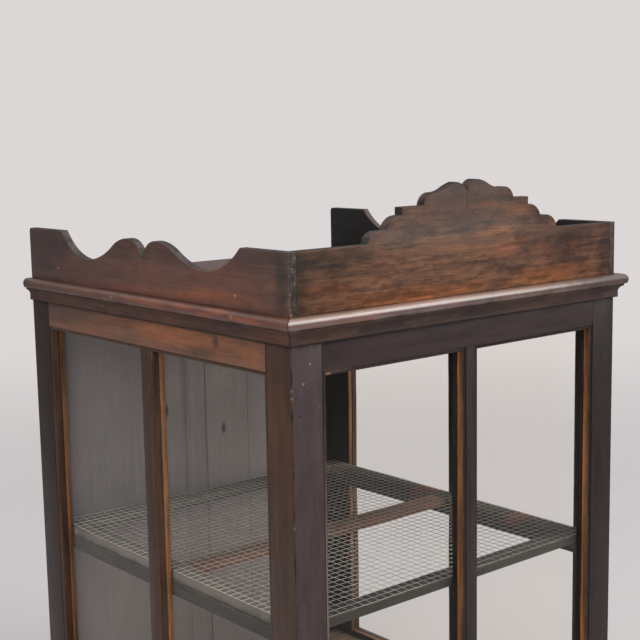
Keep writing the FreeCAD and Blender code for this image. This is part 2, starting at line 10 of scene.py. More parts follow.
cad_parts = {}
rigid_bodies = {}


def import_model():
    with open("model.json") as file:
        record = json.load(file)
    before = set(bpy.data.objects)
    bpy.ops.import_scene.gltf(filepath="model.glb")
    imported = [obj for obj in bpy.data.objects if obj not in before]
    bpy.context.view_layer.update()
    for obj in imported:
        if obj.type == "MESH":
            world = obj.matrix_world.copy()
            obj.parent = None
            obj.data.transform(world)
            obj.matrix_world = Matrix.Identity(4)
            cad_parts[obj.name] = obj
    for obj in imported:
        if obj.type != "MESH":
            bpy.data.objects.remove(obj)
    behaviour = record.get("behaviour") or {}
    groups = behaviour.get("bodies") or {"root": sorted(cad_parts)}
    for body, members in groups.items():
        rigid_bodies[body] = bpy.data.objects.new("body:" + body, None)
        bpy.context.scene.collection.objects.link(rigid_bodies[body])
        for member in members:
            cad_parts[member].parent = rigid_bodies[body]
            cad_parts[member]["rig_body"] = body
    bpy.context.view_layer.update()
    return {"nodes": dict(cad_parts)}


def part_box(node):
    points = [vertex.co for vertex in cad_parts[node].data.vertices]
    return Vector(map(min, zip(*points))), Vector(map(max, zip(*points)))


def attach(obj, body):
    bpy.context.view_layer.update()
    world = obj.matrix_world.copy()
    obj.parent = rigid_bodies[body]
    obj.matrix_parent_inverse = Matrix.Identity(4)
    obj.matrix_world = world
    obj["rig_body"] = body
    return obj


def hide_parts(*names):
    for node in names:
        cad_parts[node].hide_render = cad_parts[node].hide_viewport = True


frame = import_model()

log = logging.getLogger("display_case")
Vec = tuple[float, float, float]
Colour = tuple[float, float, float]
Seam = tuple[Vec, float]
UP: Vec = (0.0, 0.0, 1.0)
PLAIN: Colour = (1.0, 1.0, 1.0)

# The frames' outer faces as the CAD model has them, in metres
LEFT = -0.292
FRONT, BACK = -0.30875, 0.29725


# Shader nodes

class Grain(Enum):
    """The direction that a board's grain runs in: the order of its coordinates, along the grain first."""

    ALONG_X = "XYZ"
    ALONG_Y = "YXZ"
    UPRIGHT = "ZXY"


class Nodes:
    """Adds nodes to one node tree and links their sockets."""

    def __init__(self, tree: bpy.types.NodeTree) -> None:
        """Work on a tree, which starts empty."""
        self.tree = tree
        tree.nodes.clear()

    def add(self, kind: str, inputs: dict | None = None, **settings: object) -> bpy.types.Node:
        """Add a shader node.

        Args:
            kind: the node's type without its ShaderNode prefix.
            inputs: a value or a socket for each named or numbered input.
            settings: the node's own settings.

        Returns:
            The node.
        """
        made = self.tree.nodes.new("ShaderNode" + kind)
        for name, value in settings.items():
            setattr(made, name, value)
        for name, value in (inputs or {}).items():
            self.feed(made.inputs[name], value)
        return made

    def feed(self, socket: bpy.types.NodeSocket, value: object) -> None:
        """Link a socket to an input, or write a plain value on it.

        Args:
            socket: the input.
            value: a socket to link, a colour or a plain value.
        """
        if isinstance(value, bpy.types.NodeSocket):
            self.tree.links.new(value, socket)
        elif socket.type == "RGBA":
            socket.default_value = (*value, 1.0)
        else:
            socket.default_value = value

    def math(self, operation: str, a: object, b: object = 0.0) -> bpy.types.NodeSocket:
        """One step of arithmetic on two numbers."""
        return self.add("Math", {0: a, 1: b}, operation=operation).outputs[0]

    def vector(self, operation: str, a: object, b: object) -> bpy.types.Node:
        """One step of arithmetic on two vectors."""
        return self.add("VectorMath", {0: a, 1: b}, operation=operation)

    def spread(self, value: object, low: float, high: float, start: float = 0.0,
               end: float = 1.0) -> bpy.types.NodeSocket:
        """Take a value between low and high smoothly to a value between start and end."""
        sizes = {"Value": value, "From Min": low, "From Max": high, "To Min": start, "To Max": end}
        return self.add("MapRange", sizes, interpolation_type="SMOOTHSTEP").outputs["Result"]

    def mix(self, share: object, a: object, b: object, way: str = "MIX") -> bpy.types.NodeSocket:
        """Blend two colours by a share from 0 to 1."""
        return self.add("Mix", {0: share, 6: a, 7: b}, data_type="RGBA", blend_type=way,
                        clamp_factor=True).outputs[2]

    def cover(self, colour: object, other: object, mask: object, share: float) -> bpy.types.NodeSocket:
        """Lay another colour over a colour where a mask lets it, to a share."""
        return self.mix(self.math("MULTIPLY", mask, share), colour, other)

    def toned(self, colour: object, tone: Colour) -> bpy.types.NodeSocket:
        """A colour multiplied by a tone."""
        return self.mix(1.0, colour, tone, "MULTIPLY")

    def scaled(self, point: object, factors: Vec) -> bpy.types.NodeSocket:
        """A point with each of its coordinates multiplied."""
        return self.vector("MULTIPLY", point, factors).outputs[0]

    def dot(self, a: object, b: object) -> bpy.types.NodeSocket:
        """How far one vector reaches along another."""
        return self.vector("DOT_PRODUCT", a, b).outputs["Value"]

    def noise(self, vector: object, scale: float, detail: float = 3.0,
              rough: float = 0.5) -> bpy.types.NodeSocket:
        """Smooth noise from 0 to 1 over a vector."""
        sizes = {"Vector": vector, "Scale": scale, "Detail": detail, "Roughness": rough}
        return self.add("TexNoise", sizes).outputs[0]

    def order(self, point: object, grain: Grain) -> bpy.types.NodeSocket:
        """Put a point's coordinates in the order of the grain, along it first."""
        split = self.add("SeparateXYZ", {0: point}).outputs
        return self.add("CombineXYZ", {i: split[axis] for i, axis in enumerate(grain.value)}).outputs[0]

    def use(self, group: bpy.types.NodeTree, inputs: dict) -> bpy.types.bpy_prop_collection:
        """Place a shared group.

        Args:
            group: the group's tree.
            inputs: a value or a socket for each of its inputs.

        Returns:
            The group's outputs.
        """
        made = self.tree.nodes.new("ShaderNodeGroup")
        made.node_tree = group
        for name, value in inputs.items():
            self.feed(made.inputs[name], value)
        return made.outputs

    def end(self, shader: bpy.types.Node, kind: str = "OutputMaterial") -> None:
        """Lead a shader to the tree's output."""
        self.feed(self.add(kind).inputs["Surface"], shader.outputs[0])


def blank(name: str) -> tuple[bpy.types.Material, Nodes]:
    """Make a new material, still without nodes, and return it with its tree."""
    made = bpy.data.materials.new(name)
    made.use_nodes = True
    return made, Nodes(made.node_tree)


class SharedEffects:
    """The node groups that more than one finish uses, each built once."""

    # How often the grain's parts repeat in a metre: along it, then across it
    streaks: Vec = (14.0, 680.0, 680.0)
    bands: Vec = (9.0, 120.0, 120.0)
    clouds: Vec = (8.0, 18.0, 18.0)
    blotches: Vec = (26.0, 80.0, 80.0)
    pores: Vec = (75.0, 1500.0, 1500.0)
    # How far the grain wavers, and the half width and ragged edge of a dark seam line of dirt and painted
    # shade, in metres
    waver: float = 0.005
    seam_inner: float = 0.0006
    seam_outer: float = 0.0019
    seam_raggedness: float = 0.0007

    def __init__(self) -> None:
        """Build every group."""
        self.board = self.board_grain()
        self.arris = self.arris_wear()
        self.patch = self.soft_patch()
        self.facing = self.facing_mask()
        self.nicks = self.small_nicks()
        self.seam = self.seam_line()

    @staticmethod
    def start(name: str, inputs: dict[str, str],
              outputs: list[str]) -> tuple[Nodes, bpy.types.Node, bpy.types.Node]:
        """Open a group with its sockets.

        Args:
            name: the group's name.
            inputs: each input's name with Float or Vector.
            outputs: the names of the outputs, which are numbers.

        Returns:
            The group's nodes, its input node and its output node.
        """
        tree = bpy.data.node_groups.new(name, "ShaderNodeTree")
        for socket, kind in inputs.items():
            tree.interface.new_socket(socket, in_out="INPUT", socket_type="NodeSocket" + kind)
        for socket in outputs:
            tree.interface.new_socket(socket, in_out="OUTPUT", socket_type="NodeSocketFloat")
        nodes = Nodes(tree)
        return nodes, tree.nodes.new("NodeGroupInput"), tree.nodes.new("NodeGroupOutput")

    def board_grain(self) -> bpy.types.NodeTree:
        """Grain of a sawn and stained board: streaks, bands, cloudy stain, small blotches and open pores."""
        nodes, inside, out = self.start("board_grain", {"Vector": "Vector", "Offset": "Vector"},
                                        ["Figure", "Streak", "Cloud", "Blotch", "Pore"])
        point = nodes.vector("ADD", inside.outputs["Vector"], inside.outputs["Offset"]).outputs[0]
        warp = nodes.noise(point, 9.0, 2.0)
        sideways = {axis: nodes.math("MULTIPLY", warp, self.waver) for axis in (1, 2)}
        bent = nodes.vector("ADD", point, nodes.add("CombineXYZ", sideways).outputs[0]).outputs[0]
        streak = nodes.noise(nodes.scaled(bent, self.streaks), 1.0, 4.0, 0.65)
        band = nodes.noise(nodes.scaled(bent, self.bands), 1.0, 5.0, 0.62)
        cloud = nodes.noise(nodes.scaled(point, self.clouds), 1.0, 4.0, 0.55)
        blotch = nodes.noise(nodes.scaled(point, self.blotches), 1.0, 5.0, 0.68)
        pore = nodes.noise(nodes.scaled(bent, self.pores), 1.0, 2.0, 0.5)
        both = nodes.math("ADD", nodes.math("MULTIPLY", streak, 0.38), nodes.math("MULTIPLY", band, 0.62))
        nodes.feed(out.inputs["Figure"], nodes.spread(both, 0.33, 0.67))
        nodes.feed(out.inputs["Streak"], nodes.spread(streak, 0.3, 0.7))
        nodes.feed(out.inputs["Cloud"], nodes.spread(cloud, 0.38, 0.64))
        nodes.feed(out.inputs["Blotch"], nodes.spread(blotch, 0.46, 0.62))
        nodes.feed(out.inputs["Pore"], nodes.spread(pore, 0.6, 0.72))
        return nodes.tree

    def arris_wear(self) -> bpy.types.NodeTree:
        """Where an eased arris is rubbed: its normal lies between two faces of the board."""
        nodes, inside, out = self.start("arris_wear", {"Normal": "Vector", "Vector": "Vector"}, ["Wear"])
        away = nodes.add("VectorMath", {0: inside.outputs["Normal"]}, operation="ABSOLUTE").outputs[0]
        split = nodes.add("SeparateXYZ", {0: away}).outputs
        most = nodes.math("MAXIMUM", nodes.math("MAXIMUM", split[0], split[1]), split[2])
        edge = nodes.spread(most, 0.84, 0.99, 1.0, 0.0)
        broken = nodes.spread(nodes.noise(inside.outputs["Vector"], 46.0, 5.0, 0.65), 0.4, 0.62)
        nodes.feed(out.inputs["Wear"], nodes.math("MULTIPLY", edge, broken))
        return nodes.tree

    def soft_patch(self) -> bpy.types.NodeTree:
        """A cloudy patch round a centre, from 1 inside to 0 outside its radii."""
        nodes, inside, out = self.start(
            "soft_patch", {"Vector": "Vector", "Centre": "Vector", "Radii": "Vector"}, ["Mask"])
        apart = nodes.vector("SUBTRACT", inside.outputs["Vector"], inside.outputs["Centre"]).outputs[0]
        scaled = nodes.vector("DIVIDE", apart, inside.outputs["Radii"]).outputs[0]
        far = nodes.add("VectorMath", {0: scaled}, operation="LENGTH").outputs["Value"]
        cloudy = nodes.math("MULTIPLY", nodes.noise(inside.outputs["Vector"], 40.0, 4.0, 0.6), 0.7)
        nodes.feed(out.inputs["Mask"], nodes.spread(nodes.math("ADD", far, cloudy), 0.55, 1.35, 1.0, 0.0))
        return nodes.tree

    def facing_mask(self) -> bpy.types.NodeTree:
        """1 on the faces of a board that look in a given direction."""
        nodes, inside, out = self.start("facing", {"Normal": "Vector", "Direction": "Vector"}, ["Mask"])
        dot = nodes.dot(inside.outputs["Normal"], inside.outputs["Direction"])
        nodes.feed(out.inputs["Mask"], nodes.spread(dot, 0.55, 0.9))
        return nodes.tree

    def seam_line(self) -> bpy.types.NodeTree:
        """A thin dark line along a plane: grime where a board meets the next one, and painted shade with grime
        in a crease of the cornice.
        """
        nodes, inside, out = self.start(
            "seam_line", {"Vector": "Vector", "Direction": "Vector", "Place": "Float"}, ["Mask"])
        along = nodes.dot(inside.outputs["Vector"], inside.outputs["Direction"])
        apart = nodes.math("ABSOLUTE", nodes.math("SUBTRACT", along, inside.outputs["Place"]))
        rough = nodes.noise(inside.outputs["Vector"], 160.0, 3.0)
        ragged = nodes.math("MULTIPLY", rough, self.seam_raggedness)
        line = nodes.spread(nodes.math("ADD", apart, ragged), self.seam_inner, self.seam_outer, 1.0, 0.0)
        nodes.feed(out.inputs["Mask"], line)
        return nodes.tree

    def small_nicks(self) -> bpy.types.NodeTree:
        """Scattered pin pricks and chips, in a share of the cells."""
        inputs = {"Vector": "Vector", "Cells": "Float", "Reach": "Float", "Share": "Float"}
        nodes, inside, out = self.start("small_nicks", inputs, ["Mask"])
        cell = nodes.add("TexVoronoi", {"Vector": inside.outputs["Vector"], "Scale": inside.outputs["Cells"]})
        near = nodes.math("LESS_THAN", cell.outputs["Distance"], inside.outputs["Reach"])
        chosen = nodes.add("SeparateColor", {0: cell.outputs["Color"]}).outputs[0]
        few = nodes.math("LESS_THAN", chosen, inside.outputs["Share"])
        nodes.feed(out.inputs["Mask"], nodes.math("MULTIPLY", near, few))
        return nodes.tree


EFFECTS = SharedEffects()


# Finishes

@dataclass(frozen=True)
class Patch:
    """A cloudy region of a board that is lighter, darker or redder than the rest."""

    centre: Vec
    radii: Vec
    tint: Colour
    share: float = 1.0
    dull: float = 0.0
    covers: bool = False

    def mask(self, nodes: Nodes, point: bpy.types.NodeSocket) -> bpy.types.NodeSocket:
        """Where the patch lies, from 0 to 1."""
        return nodes.use(EFFECTS.patch, {"Vector": point, "Centre": self.centre, "Radii": self.radii})["Mask"]


@dataclass(frozen=True)
class Face:
    """An upright face that patches are placed on by how far along it and how high they lie."""

    place: float
    depth: float
    sideways: bool = False

    def patch(self, along: float, up: float, wide: float, high: float, tint: Colour) -> Patch:
        """One patch on the face, from its place and its reach along and up."""
        if self.sideways:
            return Patch((self.place, along, up), (self.depth, wide, high), tint)
        return Patch((along, self.place, up), (wide, self.depth, high), tint)

    def patches(self, *rows: Patch | tuple[float, float, float, float, Colour]) -> tuple[Patch, ...]:
        """A patch for each row; a row that is a patch already stays as it is."""
        return tuple(row if isinstance(row, Patch) else self.patch(*row) for row in rows)


# Where the patches of a face lie, and how deep they reach into the wood, in metres
CREST_FACE = Face(-0.31, 0.03)
DOOR_FACE = Face(0.28, 0.03)
SIDE_FACE = Face(LEFT, 0.03, sideways=True)
NOSE_FACE = Face(-0.307, 0.02, sideways=True)


@dataclass(frozen=True)
class Facing:
    """Faces that look one way and have another surface, such as sawn or unstained wood."""

    direction: Vec
    dark: Colour
    light: Colour
    share: float = 1.0
    flecks: float = 0.0
    dull: float = 0.0


@dataclass(frozen=True)
class WoodFinish:
    """Stained and varnished wood."""

    dark: Colour
    light: Colour
    cloud: Colour
    cloud_share: float = 0.4
    worn: Colour = (0.2, 0.12, 0.08)
    wear: float = 0.5
    roughness: float = 0.42
    varnish: float = 0.15
    relief: float = 0.00025
    nicks: Colour = (0.3, 0.24, 0.2)
    nick_share: float = 0.5
    sheen: float = 0.3
    varnish_blur: float = 0.2
    varnish_ior: float = 1.5
    blotches: float = 0.25
    blotch_tone: Colour = (0.42, 0.42, 0.44)
    pores: float = 0.45
    pore_tone: Colour = (0.35, 0.33, 0.32)
    dirt_and_shade: Colour = (0.008, 0.006, 0.006)
    dirt_and_shade_share: float = 0.85
    prick_cells: float = 42.0
    prick_reach: float = 0.04
    pricked: float = 0.12
    fleck_cells: float = 260.0
    fleck_reach: float = 0.24
    fleck_share: float = 0.8
    worn_blur: float = 0.15
    bump: float = 0.5

    def toned(self, tone: Colour) -> "WoodFinish":
        """The same finish with its wood colours multiplied by a tone."""
        dark, light, cloud = (tuple(value * by for value, by in zip(colour, tone))
                              for colour in (self.dark, self.light, self.cloud))
        return replace(self, dark=dark, light=light, cloud=cloud)

    def material(self, name: str, grain: Grain, seed: int, facings: tuple[Facing, ...] = (),
                 patches: tuple[Patch, ...] = (), seams: tuple[Seam, ...] = ()) -> bpy.types.Material:
        """Make the finish for one board.

        Args:
            name: the board's name.
            grain: the direction of its grain.
            seed: moves the grain, so that no two boards are alike.
            facings: faces with another surface.
            patches: regions with another tint.
            seams: direction and place of each plane along which a dark line runs, at joints with other boards
                and in the creases of the cornice.

        Returns:
            The material.
        """
        made, nodes = blank(name)
        place_of = nodes.add("TexCoord").outputs
        point, normal = place_of["Object"], place_of["Normal"]
        offset = (seed * 0.737 % 5, seed * 1.313 % 7, seed * 0.419 % 3)
        board = nodes.use(EFFECTS.board, {"Vector": nodes.order(point, grain), "Offset": offset})
        colour = nodes.mix(board["Figure"], self.dark, self.light)
        colour = nodes.cover(colour, self.cloud, board["Cloud"], self.cloud_share)
        colour = nodes.cover(colour, nodes.toned(colour, self.blotch_tone), board["Blotch"], self.blotches)
        matt = []
        for facing in facings:
            mask = nodes.use(EFFECTS.facing, {"Normal": normal, "Direction": facing.direction})["Mask"]
            other = nodes.mix(board["Figure"], facing.dark, facing.light)
            if facing.flecks:
                chips = nodes.use(EFFECTS.nicks, {"Vector": point, "Cells": self.fleck_cells,
                                                  "Reach": self.fleck_reach, "Share": facing.flecks})["Mask"]
                other = nodes.cover(other, self.nicks, chips, self.fleck_share)
            colour = nodes.cover(colour, other, mask, facing.share)
            if facing.dull:
                matt.append(nodes.math("MULTIPLY", mask, facing.dull))
        for patch in patches:
            mask = patch.mask(nodes, point)
            other = patch.tint if patch.covers else nodes.toned(colour, patch.tint)
            colour = nodes.cover(colour, other, mask, patch.share)
            if patch.dull:
                matt.append(nodes.math("MULTIPLY", mask, patch.dull))
        colour = nodes.cover(colour, nodes.toned(colour, self.pore_tone), board["Pore"], self.pores)
        worn = nodes.use(EFFECTS.arris, {"Normal": normal, "Vector": point})["Wear"]
        colour = nodes.cover(colour, self.worn, worn, self.wear)
        pricks = nodes.use(EFFECTS.nicks, {"Vector": point, "Cells": self.prick_cells,
                                           "Reach": self.prick_reach, "Share": self.pricked})["Mask"]
        colour = nodes.cover(colour, self.nicks, pricks, self.nick_share)
        # Dark seam lines: dirt in the joints, and painted shade with dirt in the creases of the cornice
        for direction, place in seams:
            mask = nodes.use(EFFECTS.seam, {"Vector": point, "Direction": direction, "Place": place})["Mask"]
            colour = nodes.cover(colour, self.dirt_and_shade, mask, self.dirt_and_shade_share)
        rough = nodes.spread(board["Streak"], 0.0, 1.0, self.roughness - 0.06, self.roughness + 0.08)
        rough = nodes.math("ADD", rough, nodes.math("MULTIPLY", worn, self.worn_blur))
        varnish = self.varnish
        for mask in matt:
            varnish = nodes.math("MULTIPLY", varnish, nodes.math("SUBTRACT", 1.0, mask))
            rough = nodes.math("MAXIMUM", rough, mask)
        height = nodes.math("SUBTRACT", board["Streak"], nodes.math("ADD", board["Pore"], pricks))
        bump = nodes.add("Bump", {"Strength": self.bump, "Distance": self.relief, "Height": height}).outputs[0]
        nodes.end(nodes.add("BsdfPrincipled", {"Base Color": colour, "Roughness": rough, "Normal": bump,
                                               "Coat Weight": varnish, "Coat Roughness": self.varnish_blur,
                                               "Coat IOR": self.varnish_ior,
                                               "Specular IOR Level": self.sheen}))
        return made


@dataclass(frozen=True)
class MetalFinish:
    """Dull metal with dust or tarnish in clouds."""

    bright: Colour
    dull: Colour
    metallic: float = 0.7
    roughness: float = 0.5
    cloud_scale: float = 60.0
    grime: Colour = (0.5, 0.48, 0.45)
    grime_share: float = 0.35

    def material(self, name: str, dusty: tuple[Patch, ...] = ()) -> bpy.types.Material:
        """Make the finish.

        Args:
            name: the material's name.
            dusty: patches where the metal is more tarnished.

        Returns:
            The material.
        """
        made, nodes = blank(name)
        point = nodes.add("TexCoord").outputs["Object"]
        cloud = nodes.spread(nodes.noise(point, self.cloud_scale, 5.0, 0.6), 0.35, 0.65)
        fine = nodes.noise(point, self.cloud_scale * 14, 3.0, 0.6)
        colour = nodes.mix(cloud, self.bright, self.dull)
        for patch in dusty:
            colour = nodes.cover(colour, patch.tint, patch.mask(nodes, point), patch.share)
        colour = nodes.cover(colour, nodes.toned(colour, self.grime), fine, self.grime_share)
        metal = nodes.spread(cloud, 0.0, 1.0, self.metallic, self.metallic * 0.4)
        rough = nodes.spread(cloud, 0.0, 1.0, self.roughness, min(1.0, self.roughness + 0.25))
        bump = nodes.add("Bump", {"Strength": 0.3, "Distance": 0.0002, "Height": fine}).outputs[0]
        nodes.end(nodes.add("BsdfPrincipled", {"Base Color": colour, "Metallic": metal, "Roughness": rough,
                                               "Normal": bump}))
        return made


@dataclass(frozen=True)
class GlassFinish:
    """Old drawn glass: clear, faintly tinted, with soft ripples and a little dust."""

    tint: Colour = (1.0, 0.992, 0.976)
    other_tint: Colour = (1.0, 0.990, 0.968)
    ior: float = 1.18
    film: float = 0.03

    def material(self, name: str) -> bpy.types.Material:
        """Make the glass. Rays towards a lamp pass through it, so that it casts no dark shadow.

        Args:
            name: the material's name.

        Returns:
            The material.
        """
        made, nodes = blank(name)
        point = nodes.add("TexCoord").outputs["Object"]
        ripple = nodes.noise(point, 14.0, 2.0, 0.4)
        smear = nodes.spread(nodes.noise(point, 22.0, 5.0, 0.6), 0.45, 0.75, 0.0, self.film)
        bump = nodes.add("Bump", {"Strength": 0.15, "Distance": 0.002, "Height": ripple}).outputs[0]
        colour = nodes.mix(nodes.spread(nodes.noise(point, 7.0, 2.0), 0.35, 0.65), self.tint, self.other_tint)
        glass = nodes.add("BsdfPrincipled", {"Base Color": colour, "Roughness": smear, "Normal": bump,
                                             "IOR": self.ior, "Transmission Weight": 1.0})
        clear = nodes.add("BsdfTransparent", {"Color": self.tint})
        path = nodes.add("LightPath").outputs
        passing = nodes.math("MAXIMUM", path["Is Shadow Ray"], path["Is Diffuse Ray"])
        nodes.end(nodes.add("MixShader", {0: passing, 1: glass.outputs[0], 2: clear.outputs[0]}))
        return made


FRONT_FRAME = WoodFinish(dark=(0.028, 0.018, 0.018), light=(0.047, 0.030, 0.029), cloud=(0.058, 0.038, 0.037),
                         worn=(0.10, 0.065, 0.06), wear=0.5, roughness=0.5, varnish=0.06, sheen=0.22)
SIDE_FRAME = WoodFinish(dark=(0.036, 0.018, 0.012), light=(0.076, 0.039, 0.025), cloud=(0.098, 0.042, 0.025),
                        worn=(0.11, 0.055, 0.035), wear=0.5, roughness=0.48, varnish=0.1)
SIDE_RAIL = WoodFinish(dark=(0.108, 0.050, 0.033), light=(0.215, 0.107, 0.066), cloud=(0.260, 0.106, 0.055),
                       cloud_share=0.5, worn=(0.14, 0.07, 0.045), wear=0.4, roughness=0.48, varnish=0.1)
GALLERY_FRONT = WoodFinish(dark=(0.085, 0.043, 0.028), light=(0.275, 0.125, 0.064),
                           cloud=(0.088, 0.044, 0.031), cloud_share=0.65, worn=(0.15, 0.105, 0.085), wear=0.5,
                           roughness=0.5, sheen=0.2, blotches=0.75)
GALLERY_SIDE = WoodFinish(dark=(0.090, 0.048, 0.040), light=(0.142, 0.073, 0.055),
                          cloud=(0.182, 0.074, 0.047), cloud_share=0.5, worn=(0.20, 0.16, 0.145), wear=0.5,
                          roughness=0.5)
NOSE = WoodFinish(dark=(0.058, 0.027, 0.021), light=(0.112, 0.052, 0.037), cloud=(0.200, 0.078, 0.038),
                  cloud_share=0.5, worn=(0.09, 0.05, 0.04), wear=0.15, roughness=0.42, varnish=1.0,
                  relief=0.00006, sheen=0.5, varnish_blur=0.30)
BEAD = WoodFinish(dark=(0.018, 0.009, 0.006), light=(0.120, 0.052, 0.022), cloud=(0.045, 0.020, 0.011),
                  cloud_share=0.5, worn=(0.11, 0.055, 0.025), wear=0.5, roughness=0.4)
SHELF_WOOD = WoodFinish(dark=(0.018, 0.018, 0.015), light=(0.046, 0.041, 0.034), cloud=(0.065, 0.050, 0.040),
                        cloud_share=0.5, worn=(0.22, 0.17, 0.13), wear=1.0, roughness=0.75, varnish=0.0)
CROSS_WOOD = WoodFinish(dark=(0.085, 0.034, 0.022), light=(0.270, 0.115, 0.065), cloud=(0.110, 0.098, 0.070),
                        cloud_share=0.6, worn=(0.30, 0.20, 0.14), wear=0.8, roughness=0.7, varnish=0.0)
INNER_WOOD = WoodFinish(dark=(0.120, 0.075, 0.045), light=(0.270, 0.180, 0.110), cloud=(0.16, 0.11, 0.075),
                        roughness=0.75, varnish=0.0)
BACK_WOOD = WoodFinish(dark=(0.030, 0.019, 0.014), light=(0.085, 0.048, 0.032), cloud=(0.055, 0.034, 0.025),
                       worn=(0.17, 0.11, 0.075), wear=0.6, roughness=0.6, varnish=0.0)
KNOB_WOOD = WoodFinish(dark=(0.050, 0.022, 0.012), light=(0.150, 0.068, 0.034), cloud=(0.07, 0.03, 0.018),
                       roughness=0.32, varnish=0.5)
GALVANISED = MetalFinish(bright=(0.64, 0.62, 0.59), dull=(0.42, 0.395, 0.365), metallic=0.25, roughness=0.55)
BRASS = MetalFinish(bright=(0.34, 0.24, 0.115), dull=(0.17, 0.12, 0.066), metallic=1.0, roughness=0.4,
                    cloud_scale=70.0)
IRON = MetalFinish(bright=(0.20, 0.18, 0.16), dull=(0.07, 0.05, 0.04), metallic=0.9, roughness=0.5,
                   cloud_scale=300.0)

# Pairs of colours, dark and light, for faces without stain or varnish
RAW_DARK, RAW_LIGHT = (0.060, 0.023, 0.009), (0.300, 0.130, 0.045)
SAWN_DARK, SAWN_LIGHT = (0.040, 0.031, 0.029), (0.090, 0.072, 0.067)
SHADED_DARK, SHADED_LIGHT = (0.018, 0.017, 0.015), (0.075, 0.067, 0.061)
END_DARK, END_LIGHT = (0.020, 0.016, 0.013), (0.095, 0.072, 0.056)
WOODY_END_DARK, WOODY_END_LIGHT = (0.040, 0.024, 0.018), (0.105, 0.056, 0.040)
INSIDE_DARK, INSIDE_LIGHT = (0.008, 0.0065, 0.0062), (0.016, 0.012, 0.011)
PAINT_DARK, PAINT_LIGHT = (0.262, 0.236, 0.230), (0.305, 0.275, 0.268)


# Bench work

def deselect() -> None:
    """Leave nothing selected."""
    if bpy.context.mode != "OBJECT":
        bpy.ops.object.mode_set(mode="OBJECT")
    bpy.ops.object.select_all(action="DESELECT")


def take(piece: bpy.types.Object) -> None:
    """Select one piece alone and make it the active one."""
    deselect()
    piece.select_set(True)
    bpy.context.view_layer.objects.active = piece


def apply_place(piece: bpy.types.Object) -> None:
    """Put the piece's place in its mesh, so that its object sits at the origin."""
    take(piece)
    bpy.ops.object.transform_apply(location=True, rotation=True, scale=True)


def modify(piece: bpy.types.Object, kind: str, **settings: object) -> None:
    """Add a modifier and apply it.

    Args:
        piece: the piece that gets it.
        kind: the modifier's type.
        settings: the modifier's own settings.
    """
    take(piece)
    made = piece.modifiers.new(kind.lower(), kind)
    for name, value in settings.items():
        setattr(made, name, value)
    bpy.ops.object.modifier_apply(modifier=made.name)


def tidy_mesh(piece: bpy.types.Object, flat: float = 0.02) -> None:
    """Join loose triangles to whole faces that look outwards.

    Args:
        piece: the piece to mend.
        flat: the angle, in radians, up to which two faces are one.
    """
    take(piece)
    bpy.ops.object.mode_set(mode="EDIT")
    bpy.ops.mesh.select_all(action="SELECT")
    bpy.ops.mesh.remove_doubles(threshold=0.00001)
    bpy.ops.mesh.dissolve_limited(angle_limit=flat)
    bpy.ops.mesh.normals_make_consistent(inside=False)
    bpy.ops.object.mode_set(mode="OBJECT")


def ease(piece: bpy.types.Object, width: float, segments: int = 2) -> None:
    """Round the sharp edges of a piece."""
    modify(piece, "BEVEL", width=width, segments=segments, limit_method="ANGLE", angle_limit=math.radians(40))


def smooth(piece: bpy.types.Object, degrees: float = 32.0) -> None:
    """Shade the piece smoothly, apart from edges sharper than an angle."""
    take(piece)
    bpy.ops.object.shade_smooth_by_angle(angle=math.radians(degrees))


def copy_of(node: str, name: str) -> bpy.types.Object:
    """Copy a CAD node.

    Args:
        node: the node's name.
        name: the new object's name.

    Returns:
        A new object with a tidied copy of the node's mesh.
    """
    made = bpy.data.objects.new(name, frame["nodes"][node].data.copy())
    made.data.materials.clear()
    bpy.context.scene.collection.objects.link(made)
    tidy_mesh(made)
    return made


def join(pieces: list[bpy.types.Object], name: str) -> bpy.types.Object:
    """Join several objects to one.

    Args:
        pieces: the objects.
        name: the name of the whole.

    Returns:
        The first object, which holds all the meshes.
    """
    deselect()
    for piece in pieces:
        piece.select_set(True)
    bpy.context.view_layer.objects.active = pieces[0]
    bpy.ops.object.join()
    pieces[0].name = name
    return pieces[0]


def copies_at(base: bpy.types.Object, places: list[Vec], name: str) -> bpy.types.Object:
    """Copy a piece that was modelled at the origin to each place, each with its own mesh.

    Args:
        base: the piece at the origin, which is removed.
        places: where the copies go.
        name: the name of the whole.

    Returns:
        The copies, joined.
    """
    made = []
    for index, place in enumerate(places):
        copy = bpy.data.objects.new(f"{name}_{index}", base.data.copy())
        copy.data.transform(Matrix.Translation(place))
        bpy.context.scene.collection.objects.link(copy)
        made.append(copy)
    bpy.data.objects.remove(base)
    return join(made, name)


def slice_up(piece: bpy.types.Object, axis: int, pitch: float) -> None:
    """Cut loops across a piece at an even pitch.

    Args:
        piece: the piece to cut.
        axis: 0, 1 or 2, the axis that the cuts follow each other along.
        pitch: about how far apart they lie.
    """
    values = [vertex.co[axis] for vertex in piece.data.vertices]
    low, high = min(values), max(values)
    count = max(1, round((high - low) / pitch))
    normal = [0.0, 0.0, 0.0]
    normal[axis] = 1.0
    take(piece)
    bpy.ops.object.mode_set(mode="EDIT")
    for step in range(1, count):
        place = [0.0, 0.0, 0.0]
        place[axis] = low + (high - low) * step / count
        bpy.ops.mesh.select_all(action="SELECT")
        bpy.ops.mesh.bisect(plane_co=place, plane_no=normal)
    bpy.ops.object.mode_set(mode="OBJECT")


